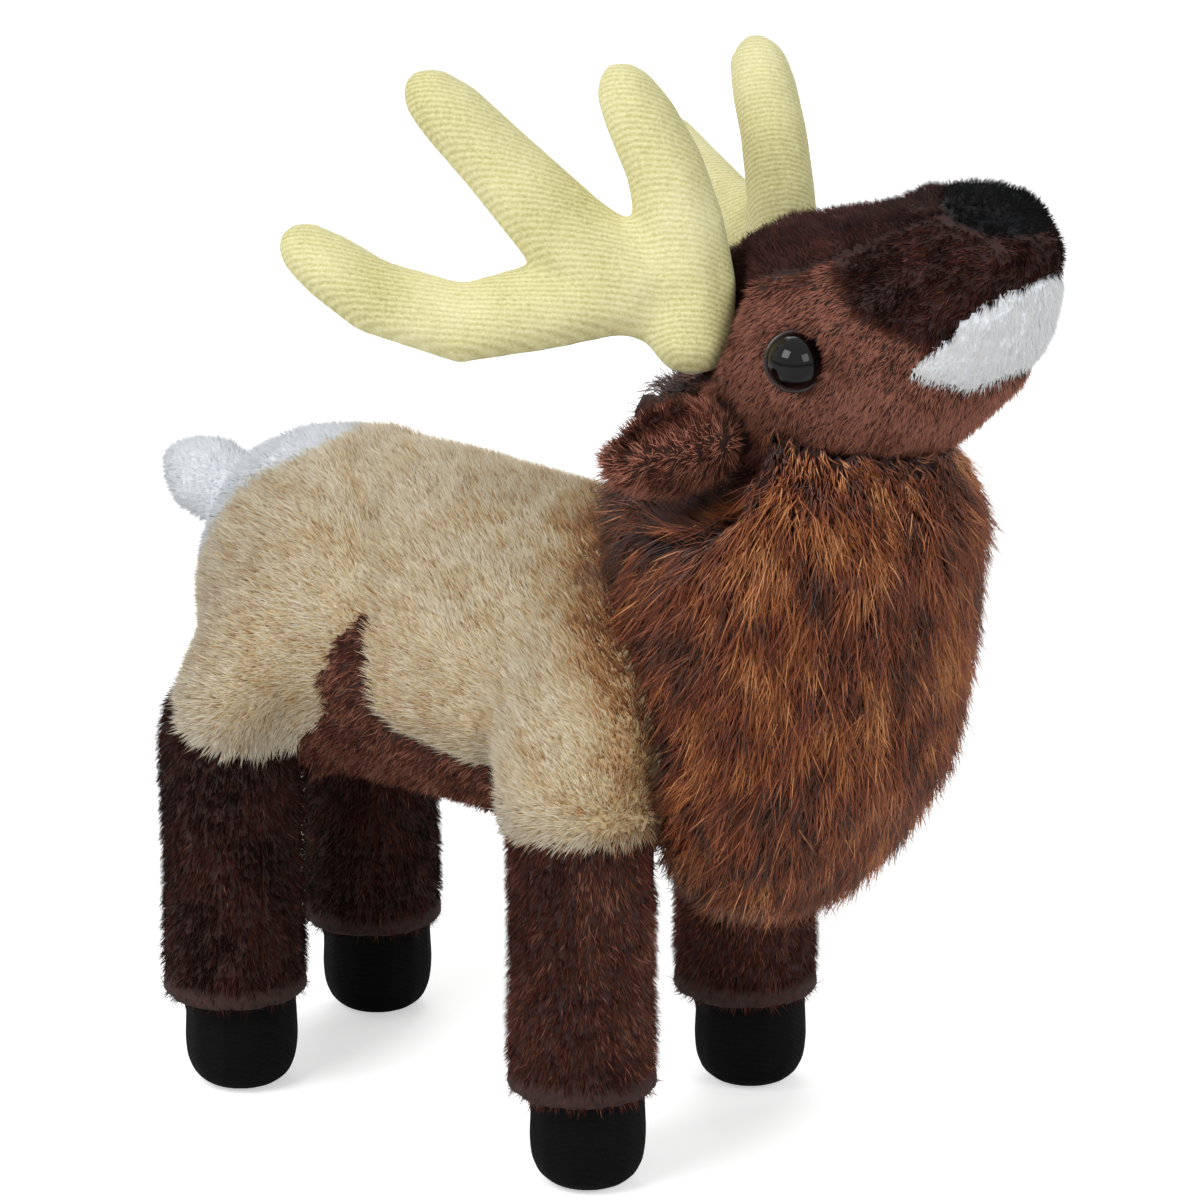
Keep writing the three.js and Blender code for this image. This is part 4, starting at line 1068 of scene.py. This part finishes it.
class STAG_OT_ears(bpy.types.Operator):
    """Makes the folded ears"""

    bl_idname = "stag.ears"
    bl_label = "Ears"

    def execute(self, context):
        length = context.scene.stag_pile.brown_length
        for i, side in enumerate(SIDES):
            node = f"ear_{side}"
            way = 1 if side == "left" else -1
            form = stuffed("ear_form", [node], **FORMS["ear"])
            share = patches(form, [node], FORMS["ear"]["under"], seam=0,
                            dents=[([EAR_HOLLOW], 2.2 * MM, 3.0 * MM)])
            middle = sum((Vector(v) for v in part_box(node)), Vector()) / 2

            def comb(p, n, way=way, middle=middle):
                """Up and out above the hollow, out and back below it."""
                rise = np.clip((p[:, 2] - middle.z) / (5 * MM) + 0.5, 0, 1)[:, None]
                return (np.array([way * 0.85, 0.45, -0.25]) * (1 - rise)
                        + np.array([way * 0.6, 0.35, 0.7]) * rise)

            def tone(p, n):
                """Painted shade in the hollow."""
                return 0.22 + 0.6 * spots(p, EAR_HOLLOW, 2.5 * MM)

            cloth(f"ear_cloth_{side}", share[node], node, "brown_backing", [node])
            hair = pile(f"ear_pile_{side}", share[node], all_but(node, "neck_ruff"), length * 1.25, comb,
                        tone, seed=61 + i, **PILES["ear"])
            finish_piece(hair, node, "brown")
            remove(form)
        return {"FINISHED"}


class STAG_OT_eyes(bpy.types.Operator):
    """Makes the glossy safety eyes and their washers"""

    bl_idname = "stag.eyes"
    bl_label = "Eyes"

    def execute(self, context):
        for side in SIDES:
            eye, _ = arrays(frame["nodes"][f"eye_{side}"])
            washer, _ = arrays(frame["nodes"][f"eye_washer_{side}"])
            middle = (washer.max(0) + washer.min(0)) / 2
            spread = eye - middle
            out = Vector(((eye.max(0) + eye.min(0)) / 2 - middle)).normalized()
            depth = spread @ np.array(out)
            rim = np.linalg.norm(spread - depth[:, None] * np.array(out), axis=1)
            radius = 0.83 * rim.max()
            edge = depth[rim > 0.97 * rim.max()].min()
            seat = Vector(middle) + out * (edge + 0.3 * MM)
            bpy.ops.mesh.primitive_uv_sphere_add(segments=64, ring_count=32, radius=radius)
            dome = context.object
            dome.name = f"eye_dome_{side}"
            dome.scale = (0.97, 0.97, (depth.max() - edge) / radius)
            dome.rotation_euler = out.to_track_quat("Z", "Y").to_euler()
            dome.location = seat
            bpy.ops.object.transform_apply(location=True, rotation=True, scale=True)
            bpy.ops.object.shade_smooth()
            finish_piece(dome, "head", "eye", [f"eye_{side}"])
            bpy.ops.mesh.primitive_torus_add(major_segments=64, minor_segments=16,
                                             major_radius=radius * 0.985, minor_radius=0.42 * MM)
            ring = context.object
            ring.name = f"eye_rim_{side}"
            ring.rotation_euler = out.to_track_quat("Z", "Y").to_euler()
            ring.location = seat
            bpy.ops.object.transform_apply(location=True, rotation=True, scale=True)
            bpy.ops.object.shade_smooth()
            finish_piece(ring, "head", "rim")
            node = frame["nodes"][f"eye_washer_{side}"]
            node.data.materials.clear()
            node.data.materials.append(material_of("washer"))
        return {"FINISHED"}


class STAG_OT_antlers(bpy.types.Operator):
    """Makes the soft three-tined antlers"""

    bl_idname = "stag.antlers"
    bl_label = "Antlers"

    def execute(self, context):
        for side in SIDES:
            nodes = [f"antler_{side}", f"antler_filling_{side}"]
            form = stuffed(f"antler_shape_{side}", nodes, **FORMS["antler"])
            form.data.shade_smooth()
            finish_piece(form, f"antler_{side}", "antler", nodes)
        return {"FINISHED"}


class STAG_OT_stage(bpy.types.Operator):
    """Sets the floor, the lights and the camera"""

    bl_idname = "stag.stage"
    bl_label = "Stage"

    def execute(self, context):
        settings = context.scene.stag_stage
        material, tree = start_material("pale_floor")
        shade = add(tree, "ShaderNodeBsdfDiffuse", links={"Color": linear("#F2F2F2")})
        glow = add(tree, "ShaderNodeEmission", links={"Color": (1, 1, 1, 1), "Strength": 0.5})
        both = add(tree, "ShaderNodeAddShader", links={0: shade.outputs[0], 1: glow.outputs[0]})
        seen = add(tree, "ShaderNodeLightPath")
        pick = add(tree, "ShaderNodeMixShader", links={
            0: seen.outputs["Is Camera Ray"], 1: shade.outputs[0], 2: both.outputs[0]})
        close_material(tree, pick)
        bpy.ops.mesh.primitive_plane_add(size=60, location=(0, 0, 0))
        floor = context.object
        floor.name = "floor"
        floor.data.materials.append(material)

        world = bpy.data.worlds.new("studio")
        world.use_nodes = True
        tree = world.node_tree
        tree.nodes.clear()
        seen = add(tree, "ShaderNodeLightPath")
        light = add(tree, "ShaderNodeMath", {"operation": "MAXIMUM"}, {
            0: seen.outputs["Is Camera Ray"], 1: seen.outputs["Is Glossy Ray"]})
        strength = add(tree, "ShaderNodeMapRange", links={
            "Value": light.outputs[0], "To Min": 0.5, "To Max": 1.0})
        sky = add(tree, "ShaderNodeBackground", links={
            "Color": (1, 1, 1, 1), "Strength": strength.outputs[0]})
        add(tree, "ShaderNodeOutputWorld", links={"Surface": sky.outputs[0]})
        context.scene.world = world

        az, el = settings.azimuth, settings.elevation
        way = Vector((math.sin(az) * math.cos(el), -math.cos(az) * math.cos(el), math.sin(el)))
        target = Vector(CAMERA_TARGET)
        data = bpy.data.cameras.new("camera")
        data.lens = LENS
        data.sensor_width = SENSOR
        data.clip_start = 0.05
        camera = bpy.data.objects.new("camera", data)
        context.collection.objects.link(camera)
        camera.location = target + way * settings.distance
        camera.rotation_euler = way.to_track_quat("Z", "Y").to_euler()
        context.scene.camera = camera

        for name, (lamp_az, lamp_el, distance, size, power) in LAMPS.items():
            a, e = math.radians(lamp_az), math.radians(lamp_el)
            out = Vector((math.sin(a) * math.cos(e), -math.cos(a) * math.cos(e), math.sin(e)))
            data = bpy.data.lights.new(name, "AREA")
            data.size = size
            data.energy = power
            lamp = bpy.data.objects.new(name, data)
            context.collection.objects.link(lamp)
            lamp.location = target + out * distance
            lamp.rotation_euler = out.to_track_quat("Z", "Y").to_euler()
        context.scene.view_settings.view_transform = "Standard"
        return {"FINISHED"}


OPERATORS = (STAG_OT_trunk, STAG_OT_tail, STAG_OT_ruff, STAG_OT_legs, STAG_OT_head, STAG_OT_ears,
             STAG_OT_eyes, STAG_OT_antlers, STAG_OT_stage)


class STAG_PT_panel(bpy.types.Panel):
    bl_label = "Plush Stag"
    bl_idname = "STAG_PT_panel"
    bl_space_type = "VIEW_3D"
    bl_region_type = "UI"
    bl_category = "Plush Stag"

    def draw(self, context):
        layout = self.layout
        for settings in (context.scene.stag_pile, context.scene.stag_colours, context.scene.stag_stage):
            for key in settings.__annotations__:
                layout.prop(settings, key)
        for operator in OPERATORS:
            layout.operator(operator.bl_idname)


CLASSES = (StagPile, StagColours, StagStage, *OPERATORS, STAG_PT_panel)


def register():
    for each in CLASSES:
        bpy.utils.register_class(each)
    bpy.types.Scene.stag_pile = PointerProperty(type=StagPile)
    bpy.types.Scene.stag_colours = PointerProperty(type=StagColours)
    bpy.types.Scene.stag_stage = PointerProperty(type=StagStage)


def unregister():
    del bpy.types.Scene.stag_stage
    del bpy.types.Scene.stag_colours
    del bpy.types.Scene.stag_pile
    for each in reversed(CLASSES):
        bpy.utils.unregister_class(each)


def main():
    register()
    for operator in OPERATORS:
        group, name = operator.bl_idname.split(".")
        getattr(getattr(bpy.ops, group), name)()


if __name__ == "__main__":
    main()
